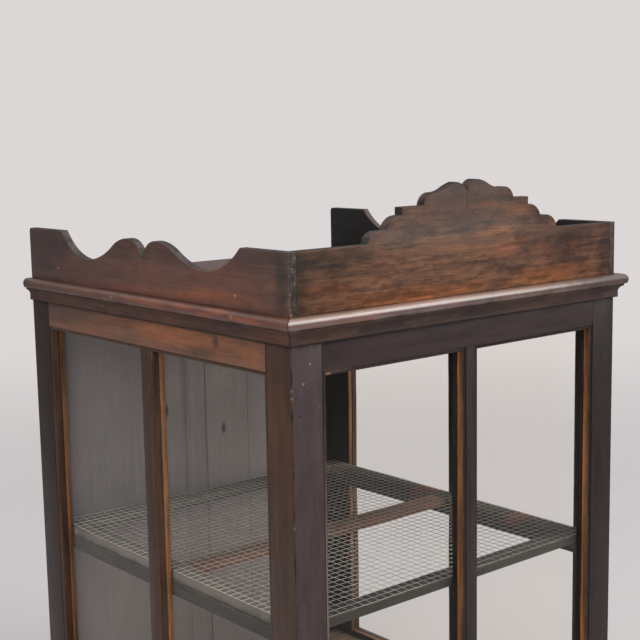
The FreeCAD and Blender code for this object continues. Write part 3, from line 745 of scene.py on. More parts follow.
def turned(name: str, rings: list[tuple[float, float]], sides: int) -> bpy.types.Object:
    """A piece turned about the Y axis through the origin.

    Args:
        name: the piece's name.
        rings: radius and length of each ring, from the foot outwards.
        sides: the number of sides of each ring.

    Returns:
        The piece, closed at both ends.
    """
    deselect()
    radius, start = rings[0]
    bpy.ops.mesh.primitive_circle_add(vertices=sides, radius=radius, fill_type="NGON",
                                      location=(0, start, 0), rotation=(math.pi / 2, 0, 0))
    made = bpy.context.object
    made.name = name
    apply_place(made)
    bpy.ops.object.mode_set(mode="EDIT")
    bpy.ops.mesh.select_all(action="SELECT")
    for wide, out in rings[1:]:
        bpy.ops.mesh.extrude_region_move(TRANSFORM_OT_translate={"value": (0, out - start, 0)})
        bpy.ops.transform.resize(value=(wide / radius, 1, wide / radius), center_override=(0, out, 0))
        radius, start = wide, out
    bpy.ops.mesh.select_all(action="SELECT")
    bpy.ops.mesh.normals_make_consistent(inside=False)
    bpy.ops.object.mode_set(mode="OBJECT")
    return made


def seat(piece: bpy.types.Object, node: str, material: bpy.types.Material, stands_for: bool = True) -> None:
    """Give a finished piece its material, and let it ride with the body of a CAD node.

    Args:
        piece: the finished piece.
        node: the CAD node that it goes with.
        material: its finish.
        stands_for: whether it takes the node's place or is fastened to it.
    """
    piece.data.materials.clear()
    piece.data.materials.append(material)
    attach(piece, BODY_OF[node])
    if stands_for:
        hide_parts(node)
    log.info("%s: %d vertices on %s", piece.name, len(piece.data.vertices), BODY_OF[node])


BODY_OF = {node: piece["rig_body"] for node, piece in frame["nodes"].items()}


# Sub-assemblies

@dataclass
class Board:
    """One wooden piece: the CAD solid with eased arrises and its own finish."""

    node: str
    finish: WoodFinish
    grain: Grain
    seed: int
    facings: tuple[Facing, ...] = ()
    patches: tuple[Patch, ...] = ()
    eased: float = 0.0006
    segments: int = 2
    seams: tuple[Seam, ...] = ()

    def make(self) -> None:
        """Build the board and seat it."""
        made = copy_of(self.node, self.node + "_finished")
        ease(made, self.eased, self.segments)
        smooth(made)
        surface = self.finish.material(self.node, self.grain, self.seed, self.facings, self.patches,
                                       self.seams)
        seat(made, self.node, surface)


@dataclass
class GlazedFrame:
    """The woodwork of one glazed side."""

    name: str
    ends: tuple[str, str]
    run: Grain
    along: Vec
    inward: Vec
    stile_finish: WoodFinish
    rail_finish: WoodFinish
    seed: int
    patches: dict[str, tuple[Patch, ...]] = field(default_factory=dict)
    # Painted light: a tone for each part, lighter or darker to stand in for sheen and shade across the frame
    painted_light_tones: dict[str, Colour] = field(default_factory=dict)
    moulding_foot: float = 0.7380
    bead_edge: float = 0.0003
    raw_beads: bool = False

    def facings(self, *ways: int, upright: bool = False) -> tuple[Facing, ...]:
        """Raw wood on the faces towards the glass, and dark stain inside the case.

        Args:
            ways: 1 or -1 along the frame, or up and down where upright is set.
            upright: whether the faces towards the glass look up or down.

        Returns:
            The faces that differ.
        """
        base = UP if upright else self.along
        colours = (INSIDE_DARK, INSIDE_LIGHT) if self.raw_beads and not upright else (RAW_DARK, RAW_LIGHT)
        raw = [Facing(tuple(value * way for value in base), *colours) for way in ways]
        return (*raw, Facing(self.inward, INSIDE_DARK, INSIDE_LIGHT, dull=0.85))

    def build(self) -> None:
        """Build the stiles, rails, muntin and beads."""
        first, last = self.ends
        low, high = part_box(f"{self.name}_beads")
        axis = "XYZ".index(self.run.value[0])
        sides = ((self.along, low[axis]), (self.along, high[axis]), (UP, self.moulding_foot))
        heights = ((UP, low.z), (UP, high.z))
        rows = [(f"stile_{first}", Grain.UPRIGHT, self.stile_finish, self.facings(1)),
                (f"stile_{last}", Grain.UPRIGHT, self.stile_finish, self.facings(-1)),
                ("muntin", Grain.UPRIGHT, self.stile_finish, self.facings(1, -1)),
                ("rail_top", self.run, self.rail_finish, self.facings(-1, upright=True)),
                ("rail_bottom", self.run, self.rail_finish, self.facings(1, upright=True))]
        for index, (part, grain, finish, facings) in enumerate(rows):
            Board(f"{self.name}_{part}", finish.toned(self.painted_light_tones.get(part, PLAIN)), grain, self.seed + index,
                  facings, self.patches.get(part, ()), seams=heights if part == "muntin" else sides).make()
        outward = tuple(-value for value in self.inward)
        outside = Facing(outward, self.stile_finish.dark, self.stile_finish.light)
        raw = [Facing(tuple(value * way for value in self.along), RAW_DARK, RAW_LIGHT) for way in (1, -1)]
        Board(f"{self.name}_beads", BEAD, Grain.UPRIGHT, self.seed + 9,
              (*(raw if self.raw_beads else ()), outside), self.patches.get("beads", ()),
              eased=self.bead_edge).make()


@dataclass
class Panes:
    """The six panes of old glass."""

    cell: float = 0.014
    swell: float = 0.00012
    reach: float = 0.055
    finish: GlassFinish = GlassFinish()

    def build(self) -> None:
        """Build every pane as a thin slab whose two faces ripple a little."""
        material = self.finish.material("old_glass")
        for number, node in enumerate(sorted(name for name in frame["nodes"] if "_glass_" in name)):
            made = copy_of(node, node + "_pane")
            low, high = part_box(node)
            size = high - low
            thin = 0 if size.x < size.y else 1
            slice_up(made, 1 - thin, self.cell)
            slice_up(made, 2, self.cell)
            middle = (low[thin] + high[thin]) / 2
            for vertex in made.data.vertices:
                side = 1.0 if vertex.co[thin] > middle else -1.0
                spot = vertex.co / self.reach + Vector((side * 9.0 + number * 3.0, 0, 0))
                spot.z *= 0.6
                vertex.co[thin] += self.swell * noise.noise(spot)
            smooth(made, 60)
            seat(made, node, material)


@dataclass
class Mouldings:
    """Cornice and base moulding with a worn, shiny nose."""

    # Wear on the nose, with painted highlight and painted shade among the patches
    nose_wear_and_painted_light: tuple[Patch, ...] = NOSE_FACE.patches(
        (-0.185, 0.769, 0.040, 0.006, (2.2, 1.6, 1.05)),
        (-0.118, 0.768, 0.034, 0.006, (2.1, 1.5, 1.05)),
        (-0.250, 0.763, 0.034, 0.006, (2.3, 1.6, 1.05)),
        (-0.02, 0.766, 0.05, 0.007, (1.6, 1.25, 1.0)),
        Patch((-0.307, -0.286, 0.7545), (0.006, 0.0028, 0.0028), (0.50, 0.36, 0.26), covers=True),
        Patch((-0.307, 0.0507, 0.764), (0.006, 0.002, 0.002), (0.40, 0.34, 0.28), covers=True),
        # Painted shade: the side nose darker towards the back
        (0.20, 0.765, 0.14, 0.02, (0.8, 0.85, 0.9)),
        (-0.06, 0.768, 0.45, 0.016, (1.45, 1.22, 1.15)),
        (-0.160, 0.7615, 0.024, 0.005, (1.8, 1.35, 0.95)),
        Patch((-0.307, -0.2169, 0.7645), (0.006, 0.0045, 0.003), (0.30, 0.155, 0.060), covers=True),
        # Painted highlight: the front nose lighter at its left and middle
        Patch((-0.13, -0.32, 0.768), (0.26, 0.02, 0.014), (1.35, 1.32, 1.36)),
        Patch((-0.20, -0.323, 0.759), (0.09, 0.02, 0.003), (1.5, 1.15, 0.95)),
        # Painted shade: the front nose darker at its right end, where its highlight fades
        Patch((0.27, -0.323, 0.765), (0.16, 0.03, 0.02), (0.5, 0.52, 0.56), dull=0.6),
    )
    under: tuple[Patch, ...] = (
        Patch((0.0, 0.0, 0.7520), (3.0, 3.0, 0.0145), (0.58, 0.66, 0.74), dull=0.97),
        Patch((0.0, 0.0, 0.7420), (3.0, 3.0, 0.0145), (0.58, 0.68, 0.76), dull=0.97),
    )
    side_under: tuple[Patch, ...] = tuple(
        Patch((0.0, 0.0, height), (3.0, 3.0, 0.0145), (0.86, 0.87, 0.88), dull=0.97)
        for height in (0.7520, 0.7420))
    # The front nose lighter on its upward faces: wear from rubbing, with painted sheen
    rubbed_and_sheen: Facing = Facing((0.0, -0.26, 0.966), (0.20, 0.128, 0.10), (0.39, 0.255, 0.19), 0.85)
    # Dark lines of painted shade and dirt in the crease under the nose and at the foot of the cornice
    creases: tuple[Seam, ...] = ((UP, 0.7571), (UP, 0.7392))

    def build(self) -> None:
        """Build the six lengths. Dark lines of painted shade and grime lie in the creases of the cornice, and
        grime in its mitres.
        """
        slant = math.sqrt(0.5)
        mitres = tuple(((slant, way * slant, 0.0), slant * (FRONT - LEFT) * way) for way in (-1, 1))
        runs = {"front": Grain.ALONG_X, "left": Grain.ALONG_Y, "right": Grain.ALONG_Y}
        for seed, (side, grain) in enumerate(runs.items()):
            polished = replace(NOSE, varnish_ior=1.9) if side == "front" else replace(NOSE, varnish=0.5)
            rubbed_and_sheen = (self.rubbed_and_sheen,) if side == "front" else ()
            under = self.under if side == "front" else self.side_under
            Board(f"cornice_{side}", polished, grain, 40 + seed, rubbed_and_sheen, self.nose_wear_and_painted_light + under,
                  eased=0.0004, seams=self.creases + mitres).make()
            Board(f"base_moulding_{side}", replace(NOSE, varnish=0.2, roughness=0.45), grain, 50 + seed,
                  eased=0.0008).make()


@dataclass
class Gallery:
    """The three boards on the top: the crested front and the scalloped sides."""

    eased: float = 0.0016
    crest: tuple[Patch, ...] = CREST_FACE.patches(
        (-0.10, 0.780, 0.20, 0.014, (1.5, 1.15, 0.8)),
        (0.16, 0.785, 0.14, 0.016, (1.4, 1.1, 0.8)),
        (0.0, 0.857, 0.09, 0.016, (0.80, 0.92, 1.0)),
        (0.03, 0.884, 0.05, 0.008, (1.5, 1.25, 0.95)),
        (0.0, 0.884, 0.21, 0.056, (0.50, 0.45, 0.39)),
        (0.0, 0.774, 0.60, 0.009, (1.5, 1.4, 1.15)),
        (-0.235, 0.797, 0.06, 0.010, (1.7, 1.3, 1.05)),
        (0.092, 0.831, 0.032, 0.010, (1.55, 1.25, 1.0)),
        # Painted shade: the crest darker at its right end
        (0.288, 0.81, 0.050, 0.10, (0.50, 0.52, 0.58)),
        # Painted highlight: a pale line along the rounded top edge at the right
        Patch((0.22, -0.30, 0.8485), (0.11, 0.02, 0.005), (2.4, 2.3, 2.3)),
        (0.065, 0.820, 0.04, 0.015, (1.35, 1.1, 1.0)),
        (-0.22, 0.81, 0.09, 0.045, (0.72, 0.74, 0.74)),
        (-0.25, 0.828, 0.07, 0.016, (0.55, 0.62, 0.62)),
        # Painted shade: darker across the right part of the crest
        (0.20, 0.82, 0.14, 0.060, (0.66, 0.62, 0.64)),
        (0.043, 0.847, 0.040, 0.012, (1.2, 1.08, 0.95)),
        (0.135, 0.819, 0.034, 0.011, (1.3, 1.05, 0.9)),
        (0.208, 0.822, 0.030, 0.020, (1.30, 1.05, 0.90)),
        (0.088, 0.875, 0.030, 0.010, (1.25, 1.05, 0.90)),
        (-0.12, 0.850, 0.05, 0.020, (0.75, 0.85, 0.95)),
        (-0.03, 0.808, 0.06, 0.008, (0.60, 0.62, 0.68)),
        (-0.285, 0.81, 0.034, 0.12, (0.42, 0.50, 0.54)),
        (0.135, 0.865, 0.035, 0.016, (0.42, 0.44, 0.50)),
        (0.0, 0.912, 0.12, 0.010, (0.60, 0.58, 0.60)),
        # Painted shadow: a dark line in the cut at the middle of the crest
        (-0.006, 0.888, 0.0022, 0.02, (0.35, 0.36, 0.38)),
        (0.24, 0.835, 0.08, 0.026, (0.62, 0.64, 0.70)),
    )
    sides: tuple[Patch, ...] = SIDE_FACE.patches(
        (-0.17, 0.782, 0.11, 0.014, (1.6, 1.2, 0.95)),
        (-0.03, 0.776, 0.12, 0.012, (1.4, 1.15, 1.0)),
        # Painted shade: the side boards darker towards the back
        (0.25, 0.81, 0.16, 0.06, (0.58, 0.70, 0.82)),
        (0.0, 0.848, 0.60, 0.046, (0.60, 0.68, 0.74)),
        (0.0, 0.777, 0.60, 0.016, (1.15, 1.18, 1.22)),
        (-0.295, 0.81, 0.018, 0.06, (0.5, 0.65, 0.75)),
        Patch((-0.2935, -0.309, 0.7782), (0.0022, 0.01, 0.0030), (0.30, 0.22, 0.14), covers=True),
        Patch((-0.2900, -0.309, 0.7735), (0.0030, 0.01, 0.0040), (0.26, 0.17, 0.09), covers=True),
        Patch((-0.2925, -0.309, 0.7860), (0.0040, 0.01, 0.0100), (0.13, 0.085, 0.045), covers=True),
        Patch((-0.292, -0.2064, 0.7874), (0.004, 0.0022, 0.0022), (0.40, 0.34, 0.29), covers=True),
        Patch((-0.292, 0.2167, 0.7906), (0.004, 0.0022, 0.0022), (0.40, 0.34, 0.29), covers=True),
    )

    def build(self) -> None:
        """Build the boards."""
        top = Facing((0, 0, 1), SAWN_DARK, SAWN_LIGHT, dull=0.85)
        ends = tuple(Facing((way, 0, 0), SHADED_DARK, SHADED_LIGHT, dull=0.8) for way in (1, -1))
        behind = Facing((0, 1, 0), (0.018, 0.013, 0.011), (0.040, 0.027, 0.021))
        Board("gallery_front", GALLERY_FRONT, Grain.ALONG_X, 3, (top, *ends, behind), self.crest, self.eased,
              3).make()
        for sign, side in ((1, "left"), (-1, "right")):
            back = Facing((0, 1, 0), SHADED_DARK, SHADED_LIGHT, dull=0.8)
            slope = (Facing((0, -1, 0), END_DARK, END_LIGHT, flecks=0.45, dull=0.7) if side == "left" else
                     Facing((0, -1, 0), WOODY_END_DARK, WOODY_END_LIGHT, dull=0.7))
            inside = Facing((sign, 0, 0), (0.010, 0.009, 0.008), (0.017, 0.014, 0.013))
            Board(f"gallery_{side}", replace(GALLERY_SIDE, nick_share=0.9), Grain.ALONG_Y, 20 + sign,
                  (top, back, slope, inside), self.sides, self.eased, 3).make()


@dataclass
class Shelf:
    """The shelf frame and the wire mesh on it."""

    wire_radius: float = 0.0004
    wire_sides: int = 6
    weave: float = 1.7
    margin: float = 0.001
    tremble: float = 0.0003
    bends_per_metre: float = 17.0
    pitch: float = 0.0127
    sag: float = 0.0012
    wander: float = 0.0004
    lift: float = 0.0045
    dust: Colour = (0.80, 0.75, 0.67)
    rail_marks: tuple[Patch, ...] = (
        Patch((-0.262, 0.0, 0.396), (0.05, 0.50, 0.02), (0.19, 0.172, 0.150), 0.85, covers=True),
        Patch((0.2675, 0.0, 0.3975), (0.0035, 0.60, 0.004), (0.20, 0.15, 0.11), covers=True),
        Patch((0.25, 0.235, 0.396), (0.05, 0.03, 0.02), (4.0, 3.6, 3.0)),
        Patch((0.25, 0.03, 0.396), (0.05, 0.035, 0.02), (4.0, 1.3, 1.0)),
        Patch((0.25, -0.17, 0.396), (0.05, 0.026, 0.02), (3.6, 1.3, 1.0)),
        Patch((-0.10, 0.262, 0.3965), (0.34, 0.05, 0.02), (0.19, 0.175, 0.155), 0.85, covers=True),
    )

    def build(self) -> None:
        """Build the rails, the boards that carry them and the mesh."""
        for seed, (rails, grain) in enumerate((("side", Grain.ALONG_Y), ("end", Grain.ALONG_X))):
            Board(f"shelf_{rails}_rails", SHELF_WOOD, grain, 60 + seed, patches=self.rail_marks).make()
        Board("shelf_cross_rail", CROSS_WOOD, Grain.ALONG_X, 62).make()
        Board("shelf_ledgers", SHELF_WOOD, Grain.ALONG_Y, 63).make()
        self.mesh()

    def wire(self, name: str, length: float, along_x: bool) -> bpy.types.Object:
        """Make one straight wire at the origin.

        Args:
            name: the wire's name.
            length: its length.
            along_x: whether it lies across the case rather than deep into it.

        Returns:
            The wire, cut into short lengths so that it can bend.
        """
        deselect()
        turn = (0, math.pi / 2, 0) if along_x else (math.pi / 2, 0, 0)
        bpy.ops.mesh.primitive_cylinder_add(vertices=self.wire_sides, radius=self.wire_radius, depth=length,
                                            rotation=turn)
        made = bpy.context.object
        made.name = name
        apply_place(made)
        slice_up(made, 0 if along_x else 1, self.pitch)
        return made

    def mesh(self) -> None:
        """Lay the wires across each other, then let them sag, wander and lift at the back corner."""
        low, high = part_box("shelf_mesh")
        middle = (low + high) / 2
        across = math.floor((high.x - low.x) / self.pitch)
        deep = math.floor((high.y - low.y) / self.pitch)
        xs = [middle.x + (index - across / 2) * self.pitch for index in range(across + 1)]
        ys = [middle.y + (index - deep / 2) * self.pitch for index in range(deep + 1)]
        base = low.z + self.wire_radius
        step = self.wire_radius * self.weave
        long_wires = copies_at(self.wire("wire_deep", high.y - low.y - self.margin, False),
                               [(x, middle.y, base + step) for x in xs], "wires_deep")
        cross_wires = copies_at(self.wire("wire_across", high.x - low.x - self.margin, True),
                                [(middle.x, y, base) for y in ys], "wires_across")
        made = join([long_wires, cross_wires], "shelf_wire_mesh")
        for vertex in made.data.vertices:
            x, y, _ = vertex.co
            spot = Vector((x * self.bends_per_metre, y * self.bends_per_metre, 2.0))
            vertex.co.x += self.wander * noise.noise(spot)
            vertex.co.y += self.wander * noise.noise(spot + Vector((7, 0, 0)))
            vertex.co.z += self.height(x, y, low, high) + self.tremble * noise.noise(spot * 1.7)
        smooth(made, 70)
        edge = (Patch((low.x, middle.y, low.z), (0.04, 0.40, 0.03), self.dust, 0.8),
                Patch((low.x + 0.03, high.y, low.z), (0.12, 0.12, 0.03), self.dust, 0.9),
                Patch((high.x, middle.y, low.z), (0.33, 0.80, 1.0), (0.28, 0.265, 0.24), 0.9),
                Patch((high.x, high.y, low.z), (0.06, 0.05, 0.03), (0.42, 0.38, 0.33), 0.8))
        seat(made, "shelf_mesh", GALVANISED.material("galvanised_wire", edge))

    def height(self, x: float, y: float, low: Vector, high: Vector) -> float:
        """Find how far the mesh rises or sags at a place.

        Args:
            x: the place across the case.
            y: the place in its depth.
            low: the lowest corner of the box round the mesh.
            high: the highest corner of that box.

        Returns:
            The height to add there.
        """
        from_left = (x - low.x) / (high.x - low.x)
        from_back = (high.y - y) / (high.y - low.y)
        rise = self.lift * max(0.0, 1 - from_left * 2.2) * max(0.0, 1 - from_back * 6)
        bay = math.sin(math.pi * min(1.0, max(0.0, from_left))) * abs(math.sin(2 * math.pi * from_back))
        return rise - self.sag * max(0.0, bay - 0.25)


@dataclass
class Inside:
    """Top board, floor and cleats."""

    def build(self) -> None:
        """Build the boards that close the case."""
        dark_under = Facing((0, 0, -1), INSIDE_DARK, (0.04, 0.028, 0.022))
        Board("top_board", GALLERY_SIDE, Grain.ALONG_X, 70, (dark_under,)).make()
        Board("floor_board", INNER_WOOD, Grain.ALONG_X, 71).make()
        Board("floor_cleats", INNER_WOOD, Grain.ALONG_Y, 72).make()


@dataclass
class Back:
    """The back frame and the two plank doors."""

    rubbed_paint: Colour = (0.20, 0.175, 0.17)
    painted_edge: tuple[Colour, Colour] = ((0.30, 0.27, 0.265), (0.36, 0.33, 0.32))
    door_edge: float = 0.0008
    # Knots, a board joint, and painted light and shade on the painted inside of the doors
    knots_and_painted_light: tuple[Patch, ...] = DOOR_FACE.patches(
        (0.034, 0.493, 0.007, 0.015, (0.20, 0.18, 0.18)),
        (-0.076, 0.540, 0.006, 0.016, (0.22, 0.20, 0.20)),
        # Darker towards the bottom, just above the shelf
        (-0.16, 0.40, 0.30, 0.08, (0.80, 0.80, 0.82)),
        (-0.04, 0.60, 0.012, 0.30, (0.82, 0.82, 0.84)),
        (0.03, 0.62, 0.03, 0.30, (1.07, 1.07, 1.06)),
        # Painted light: the upper middle lighter, as if lit evenly up to the top
        (0.02, 0.67, 0.19, 0.22, (1.22, 1.20, 1.19)),
        (-0.01, 0.59, 0.13, 0.06, (1.15, 1.13, 1.13)),
        # Painted shade: darker low at the left
        (-0.17, 0.49, 0.10, 0.12, (0.86, 0.87, 0.88)),
    )

    def build(self) -> None:
        """Build the fixed boards and the doors."""
        paint = Facing((0, -1, 0), PAINT_DARK, PAINT_LIGHT)
        bare = Facing((0, -1, 0), INSIDE_DARK, INSIDE_LIGHT, dull=0.85)
        for seed, node in enumerate(("back_jamb_left", "back_jamb_right", "back_sill", "back_head_rail",
                                     "door_stop")):
            grain, inner = (Grain.UPRIGHT, bare) if "jamb" in node else (Grain.ALONG_X, paint)
            Board(node, BACK_WOOD, grain, 80 + seed, (inner,)).make()
        edges = tuple(Facing((way, 0, 0), *self.painted_edge) for way in (1, -1))
        for seed, side in enumerate(("left", "right")):
            Board(f"door_{side}", replace(BACK_WOOD, worn=self.rubbed_paint), Grain.UPRIGHT, 90 + seed,
                  (paint, *edges), self.knots_and_painted_light, self.door_edge).make()
            Board(f"door_battens_{side}", BACK_WOOD, Grain.ALONG_X, 94 + seed, eased=0.001).make()


@dataclass
class Hardware:
    """Knobs, hinges with their screws and pins, and the turn button."""

    knob_rings: tuple[tuple[float, float], ...] = (
        (0.0045, -0.0098), (0.0045, 0.0), (0.0094, 0.0), (0.0096, 0.0012), (0.0094, 0.0026), (0.0080, 0.0036),
        (0.0062, 0.0046), (0.0056, 0.0070), (0.0058, 0.0092), (0.0072, 0.0112), (0.0100, 0.0130),
        (0.0122, 0.0152), (0.0130, 0.0182), (0.0126, 0.0212), (0.0110, 0.0236), (0.0080, 0.0252),
        (0.0040, 0.0259), (0.0010, 0.0260))
    screw_rings: tuple[tuple[float, float], ...] = (
        (0.0018, -0.0006), (0.0024, 0.0), (0.0023, 0.0003), (0.0015, 0.0007), (0.0004, 0.0009))
    nail_rings: tuple[tuple[float, float], ...] = ((0.0012, -0.0006), (0.0020, 0.0), (0.0018, 0.0004),
                                                   (0.0004, 0.0005))
    leaf_thickness: float = 0.0016
    hinge_feet: tuple[float, float] = (0.102, 0.615)
    screw_rises: tuple[float, ...] = (0.009, 0.025, 0.041)
    screw_inset: float = 0.010
    batten_width: float = 0.06
    nail_rises: tuple[float, float] = (0.018, 0.042)
    nail_inset: float = 0.02
    nail_stagger: float = 0.003
    metal_edge: float = 0.0003
    head_edge: float = 0.0008

    def build(self) -> None:
        """Build all the hardware."""
        for seed, side in enumerate(("left", "right")):
            self.knob(f"door_knob_{side}", seed)
            self.plate(f"door_hinge_leaves_{side}")
            self.nails(f"door_battens_{side}")
        self.plate("frame_hinge_leaves")
        pins = copy_of("hinge_pins", "hinge_pins_finished")
        ease(pins, self.metal_edge)
        smooth(pins, 50)
        seat(pins, "hinge_pins", BRASS.material("pin_brass"))
        self.button()

    def knob(self, node: str, seed: int) -> None:
        """Turn a wooden knob.

        Args:
            node: the CAD node of the knob.
            seed: moves its grain.
        """
        low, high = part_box(node)
        made = turned(node + "_turned", list(self.knob_rings), 40)
        made.data.transform(Matrix.Translation(((low.x + high.x) / 2, BACK, (low.z + high.z) / 2)))
        smooth(made, 40)
        seat(made, node, KNOB_WOOD.material(node, Grain.ALONG_Y, 30 + seed))

    def plate(self, node: str) -> None:
        """Ease the edges of the hinge leaves and put three screws in each.

        Args:
            node: the CAD node of the leaves.
        """
        made = copy_of(node, node + "_finished")
        ease(made, self.metal_edge, 1)
        smooth(made, 40)
        seat(made, node, BRASS.material(node))
        low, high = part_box(node)
        heights = [foot + rise for foot in self.hinge_feet for rise in self.screw_rises]
        columns = [low.x + self.screw_inset, high.x - self.screw_inset]
        if not node.startswith("frame"):
            columns = columns[:1] if abs(low.x) < abs(high.x) else columns[1:]
        places = [(x, BACK + self.leaf_thickness, z) for x in columns for z in heights]
        screws = copies_at(turned("screw", list(self.screw_rings), 12), places, node + "_screws")
        smooth(screws, 50)
        seat(screws, node, IRON.material(node + "_screws"), stands_for=False)

    def nails(self, node: str) -> None:
        """Drive two nails through each end and the middle of each batten.

        Args:
            node: the CAD node of a door's battens.
        """
        low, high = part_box(node)
        columns = [low.x + self.nail_inset, (low.x + high.x) / 2, high.x - self.nail_inset]
        heights = [foot + rise for foot in (low.z, high.z - self.batten_width) for rise in self.nail_rises]
        places = [(x + self.nail_stagger * math.sin(z * 900), high.y, z) for x in columns for z in heights]
        made = copies_at(turned("nail", list(self.nail_rings), 10), places, node + "_nails")
        smooth(made, 50)
        seat(made, node, IRON.material(node + "_nails"), stands_for=False)

    def button(self) -> None:
        """The turn button and its screw."""
        Board("turn_button", KNOB_WOOD, Grain.ALONG_X, 33, eased=0.0015, segments=3).make()
        made = copy_of("turn_button_screw", "turn_button_screw_finished")
        ease(made, self.head_edge, 3)
        smooth(made, 50)
        seat(made, "turn_button_screw", IRON.material("button_screw"))


# Studio

@dataclass
class Studio:
    """Floor, lamps, background and camera."""

    floor_colour: Colour = (0.64, 0.61, 0.605)
    background: Colour = (0.715, 0.680, 0.676)
    sky: float = 0.95
    horizon: float = 0.15
    yaw: float = 40.0156
    pitch: float = 8.409
    roll: float = 1.034
    lens: float = 71.42
    camera_place: Vec = (-1.16371, -1.39915, 0.97467)
    floor_radius: float = 14.0
    fade_start: float = 1.2
    fade_end: float = 4.5

    def build(self) -> None:
        """Build the studio."""
        self.floor()
        self.lamps()
        self.world()
        self.camera()

    def floor(self) -> None:
        """A wide pale floor that fades into the background away from the case."""
        deselect()
        bpy.ops.mesh.primitive_circle_add(vertices=96, radius=self.floor_radius, fill_type="NGON")
        made = bpy.context.object
        made.name = "floor"
        surface, nodes = blank("pale_floor")
        point = nodes.add("TexCoord").outputs["Object"]
        away = nodes.add("VectorMath", {0: point}, operation="LENGTH").outputs["Value"]
        fade = nodes.spread(away, self.fade_start, self.fade_end, 1.0, 0.0)
        nodes.end(nodes.add("BsdfPrincipled", {"Base Color": self.floor_colour, "Roughness": 0.9,
                                               "Specular IOR Level": 0.1, "Alpha": fade}))
        made.data.materials.append(surface)

    def lamp(self, name: str, place: Vec, target: Vec, size: tuple[float, float], power: float,
             colour: Colour) -> None:
        """Hang one large soft lamp, which is not seen itself.

        Args:
            name: the lamp's name.
            place: where it hangs.
            target: the point that it looks at.
            size: its width and height.
            power: its power in watts.
            colour: the colour of its light.
        """
        deselect()
        bpy.ops.object.light_add(type="AREA", location=place)
        made = bpy.context.object
        made.name = name
        made.data.shape = "RECTANGLE"
        made.data.size, made.data.size_y = size
        made.visible_camera = False
        made.visible_transmission = False
        made.data.energy = power
        made.data.color = colour
        made.rotation_euler = (Vector(target) - Vector(place)).to_track_quat("-Z", "Y").to_euler()

    def lamps(self) -> None:
        """A tall soft key from the right of the front, and a weak fill from the left."""
        self.lamp("key_lamp", (1.26, -1.68, 1.75), (-0.1, -0.3, 0.72), (1.0, 1.9), 28.0, (1.0, 0.97, 0.95))
        self.lamp("fill_lamp", (-2.3, -1.2, 1.75), (0.0, 0.0, 0.6), (2.0, 2.0), 26.0, (1.0, 0.985, 0.97))

    def world(self) -> None:
        """Soft light from above that dims towards the horizon; the camera sees a pale background."""
        world = bpy.data.worlds.new("soft_room")
        bpy.context.scene.world = world
        world.use_nodes = True
        nodes = Nodes(world.node_tree)
        path = nodes.add("LightPath").outputs
        seen = nodes.math("MAXIMUM", path["Is Camera Ray"], path["Is Transmission Ray"])
        up = nodes.add("SeparateXYZ", {0: nodes.add("TexCoord").outputs["Generated"]}).outputs[2]
        strength = nodes.spread(up, 0.05, 0.75, self.horizon, self.sky)
        light = nodes.add("Background", {"Color": (0.97, 0.98, 1.0), "Strength": strength})
        shown = nodes.add("Background", {"Color": self.background, "Strength": 1.0})
        nodes.end(nodes.add("MixShader", {0: seen, 1: light.outputs[0], 2: shown.outputs[0]}), "OutputWorld")

    def camera(self) -> None:
        """The camera at the photograph's viewing angle."""
        yaw, pitch, roll = (math.radians(value) for value in (self.yaw, self.pitch, self.roll))
        ahead = Vector((math.sin(yaw) * math.cos(pitch), math.cos(yaw) * math.cos(pitch), -math.sin(pitch)))
        level = Vector((math.cos(yaw), -math.sin(yaw), 0.0))
        down = ahead.cross(level)
        across = level * math.cos(roll) + down * math.sin(roll)
        below = down * math.cos(roll) - level * math.sin(roll)
        data = bpy.data.cameras.new("photo_view")
        data.lens = self.lens
        data.sensor_width = 36.0
        made = bpy.data.objects.new("photo_view", data)
        bpy.context.scene.collection.objects.link(made)
        turn = Matrix((across, -below, -ahead)).transposed().to_4x4()
        made.matrix_world = Matrix.Translation(self.camera_place) @ turn
        bpy.context.scene.camera = made
        bpy.context.scene.view_settings.view_transform = "Standard"


# Marks and painted shade on the glazed frames, each with its centre, its reach and its tint

RAIL_MARKS_AND_SHADE = SIDE_FACE.patches(
    (-0.09, 0.726, 0.16, 0.022, (1.35, 1.12, 0.85)),
    (-0.233, 0.72, 0.04, 0.02, (1.3, 1.1, 0.9)),
    # Painted shade: the rail darker towards the back
    (0.24, 0.73, 0.20, 0.03, (0.50, 0.64, 0.86)),
    (-0.165, 0.728, 0.009, 0.010, (0.42, 0.48, 0.55)),
    (-0.130, 0.712, 0.045, 0.010, (0.52, 0.60, 0.68)),
    (-0.10, 0.739, 0.030, 0.003, (0.5, 0.5, 0.5)))
PALE, PIT = (0.22, 0.185, 0.16), (0.006, 0.005, 0.005)
# Height, reach and tint of each chip down the mitred front corner
CORNER_CHIPS = ((0.597, 0.0045, PALE), (0.688, 0.003, PALE), (0.679, 0.003, PALE), (0.702, 0.020, PIT),
                (0.660, 0.013, PIT), (0.593, 0.018, PIT), (0.545, 0.014, PIT), (0.528, 0.003, PALE),
                (0.48, 0.02, PIT))
CORNER_MARKS = tuple(Patch((LEFT, -0.309, height), (0.0028, 0.0028, reach), tint, covers=True)
                     for height, reach, tint in CORNER_CHIPS)
STILE_MARKS = (Patch((-0.292, -0.272, 0.62), (0.03, 0.020, 0.16), (1.2, 1.05, 0.95)), *CORNER_MARKS)
FRONT_MARKS = (*CORNER_MARKS,
               Patch((-0.264, -0.309, 0.7155), (0.002, 0.004, 0.002), PALE, covers=True),
               Patch((-0.2743, -0.309, 0.6938), (0.0022, 0.004, 0.0022), PALE, covers=True),
               Patch((-0.2795, -0.309, 0.6571), (0.002, 0.004, 0.002), PIT, covers=True),
               Patch((-0.2510, -0.309, 0.6650), (0.0018, 0.004, 0.0018), PALE, 0.7, covers=True))
MUNTIN_MARKS = (Patch((-0.2745, -0.0135, 0.394), (0.0050, 0.02, 0.60), (1.7, 1.55, 1.4)),
                Patch((-0.2778, -0.0135, 0.394), (0.0016, 0.02, 0.60), (0.36, 0.24, 0.16), 0.7, covers=True))
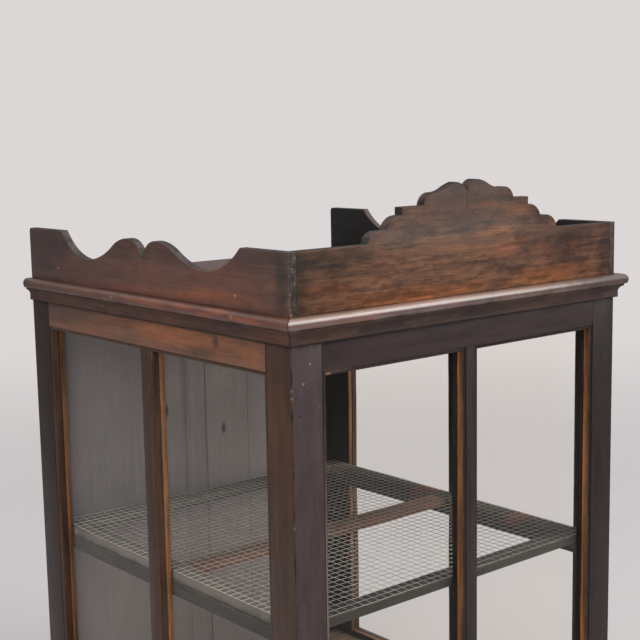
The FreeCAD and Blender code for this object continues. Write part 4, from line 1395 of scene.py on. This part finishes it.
# Painted shade: the first patch darkens the beads at the front, in the recess behind the frame's face; the
# rest are marks
BEAD_MARKS_AND_SHADE = (Patch((0.0, -0.3085, 0.394), (3.0, 0.0035, 3.0), (0.25, 0.22, 0.22)),
              Patch((0.0, -0.2990, 0.394), (3.0, 0.0035, 3.0), (1.6, 1.45, 1.3)),
              Patch((-0.2437, -0.3079, 0.394), (0.0016, 0.006, 0.32), (0.21, 0.15, 0.115), covers=True),
              Patch((-0.2200, -0.3079, 0.7025), (0.03, 0.006, 0.0016), (0.19, 0.125, 0.09), covers=True),
              Patch((-0.2370, -0.3079, 0.7010), (0.007, 0.006, 0.003), (0.34, 0.18, 0.10), covers=True))
# Painted sheen: the front frame lighter at the left and darker to the right
FRONT_SHEEN_TONES = {"stile_left": (1.45, 1.5, 1.5), "rail_top": (1.05, 1.0, 1.0), "muntin": (0.75, 0.72, 0.74),
               "stile_right": (0.62, 0.58, 0.60)}
# Painted shade: the side frame darker towards the back
SIDE_SHADE_TONES = {"stile_back": (0.5, 0.6, 0.7), "muntin": (0.85, 0.95, 1.05)}


def main() -> None:
    """Build the case in the order of its sub-assemblies, then the studio."""
    logging.basicConfig(level=logging.INFO, format="%(name)s: %(message)s")
    GlazedFrame("front", ("left", "right"), Grain.ALONG_X, along=(1.0, 0.0, 0.0), inward=(0.0, 1.0, 0.0),
                stile_finish=FRONT_FRAME, rail_finish=FRONT_FRAME, seed=100,
                patches={"stile_left": FRONT_MARKS, "beads": BEAD_MARKS_AND_SHADE}, painted_light_tones=FRONT_SHEEN_TONES,
                raw_beads=True).build()
    side_marks_and_shade = {"rail_top": RAIL_MARKS_AND_SHADE, "stile_front": STILE_MARKS, "muntin": MUNTIN_MARKS}
    for name, inward, seed, marks_and_shade, painted_light_tones in (("left", (1.0, 0.0, 0.0), 120, side_marks_and_shade, SIDE_SHADE_TONES),
                                             ("right", (-1.0, 0.0, 0.0), 140, {}, {})):
        GlazedFrame(name, ("front", "back"), Grain.ALONG_Y, along=(0.0, 1.0, 0.0), inward=inward,
                    stile_finish=SIDE_FRAME, rail_finish=SIDE_RAIL, seed=seed, patches=marks_and_shade,
                    painted_light_tones=painted_light_tones).build()
    for part in (Panes(), Mouldings(), Gallery(), Shelf(), Inside(), Back(), Hardware(), Studio()):
        part.build()


if __name__ == "__main__":
    main()
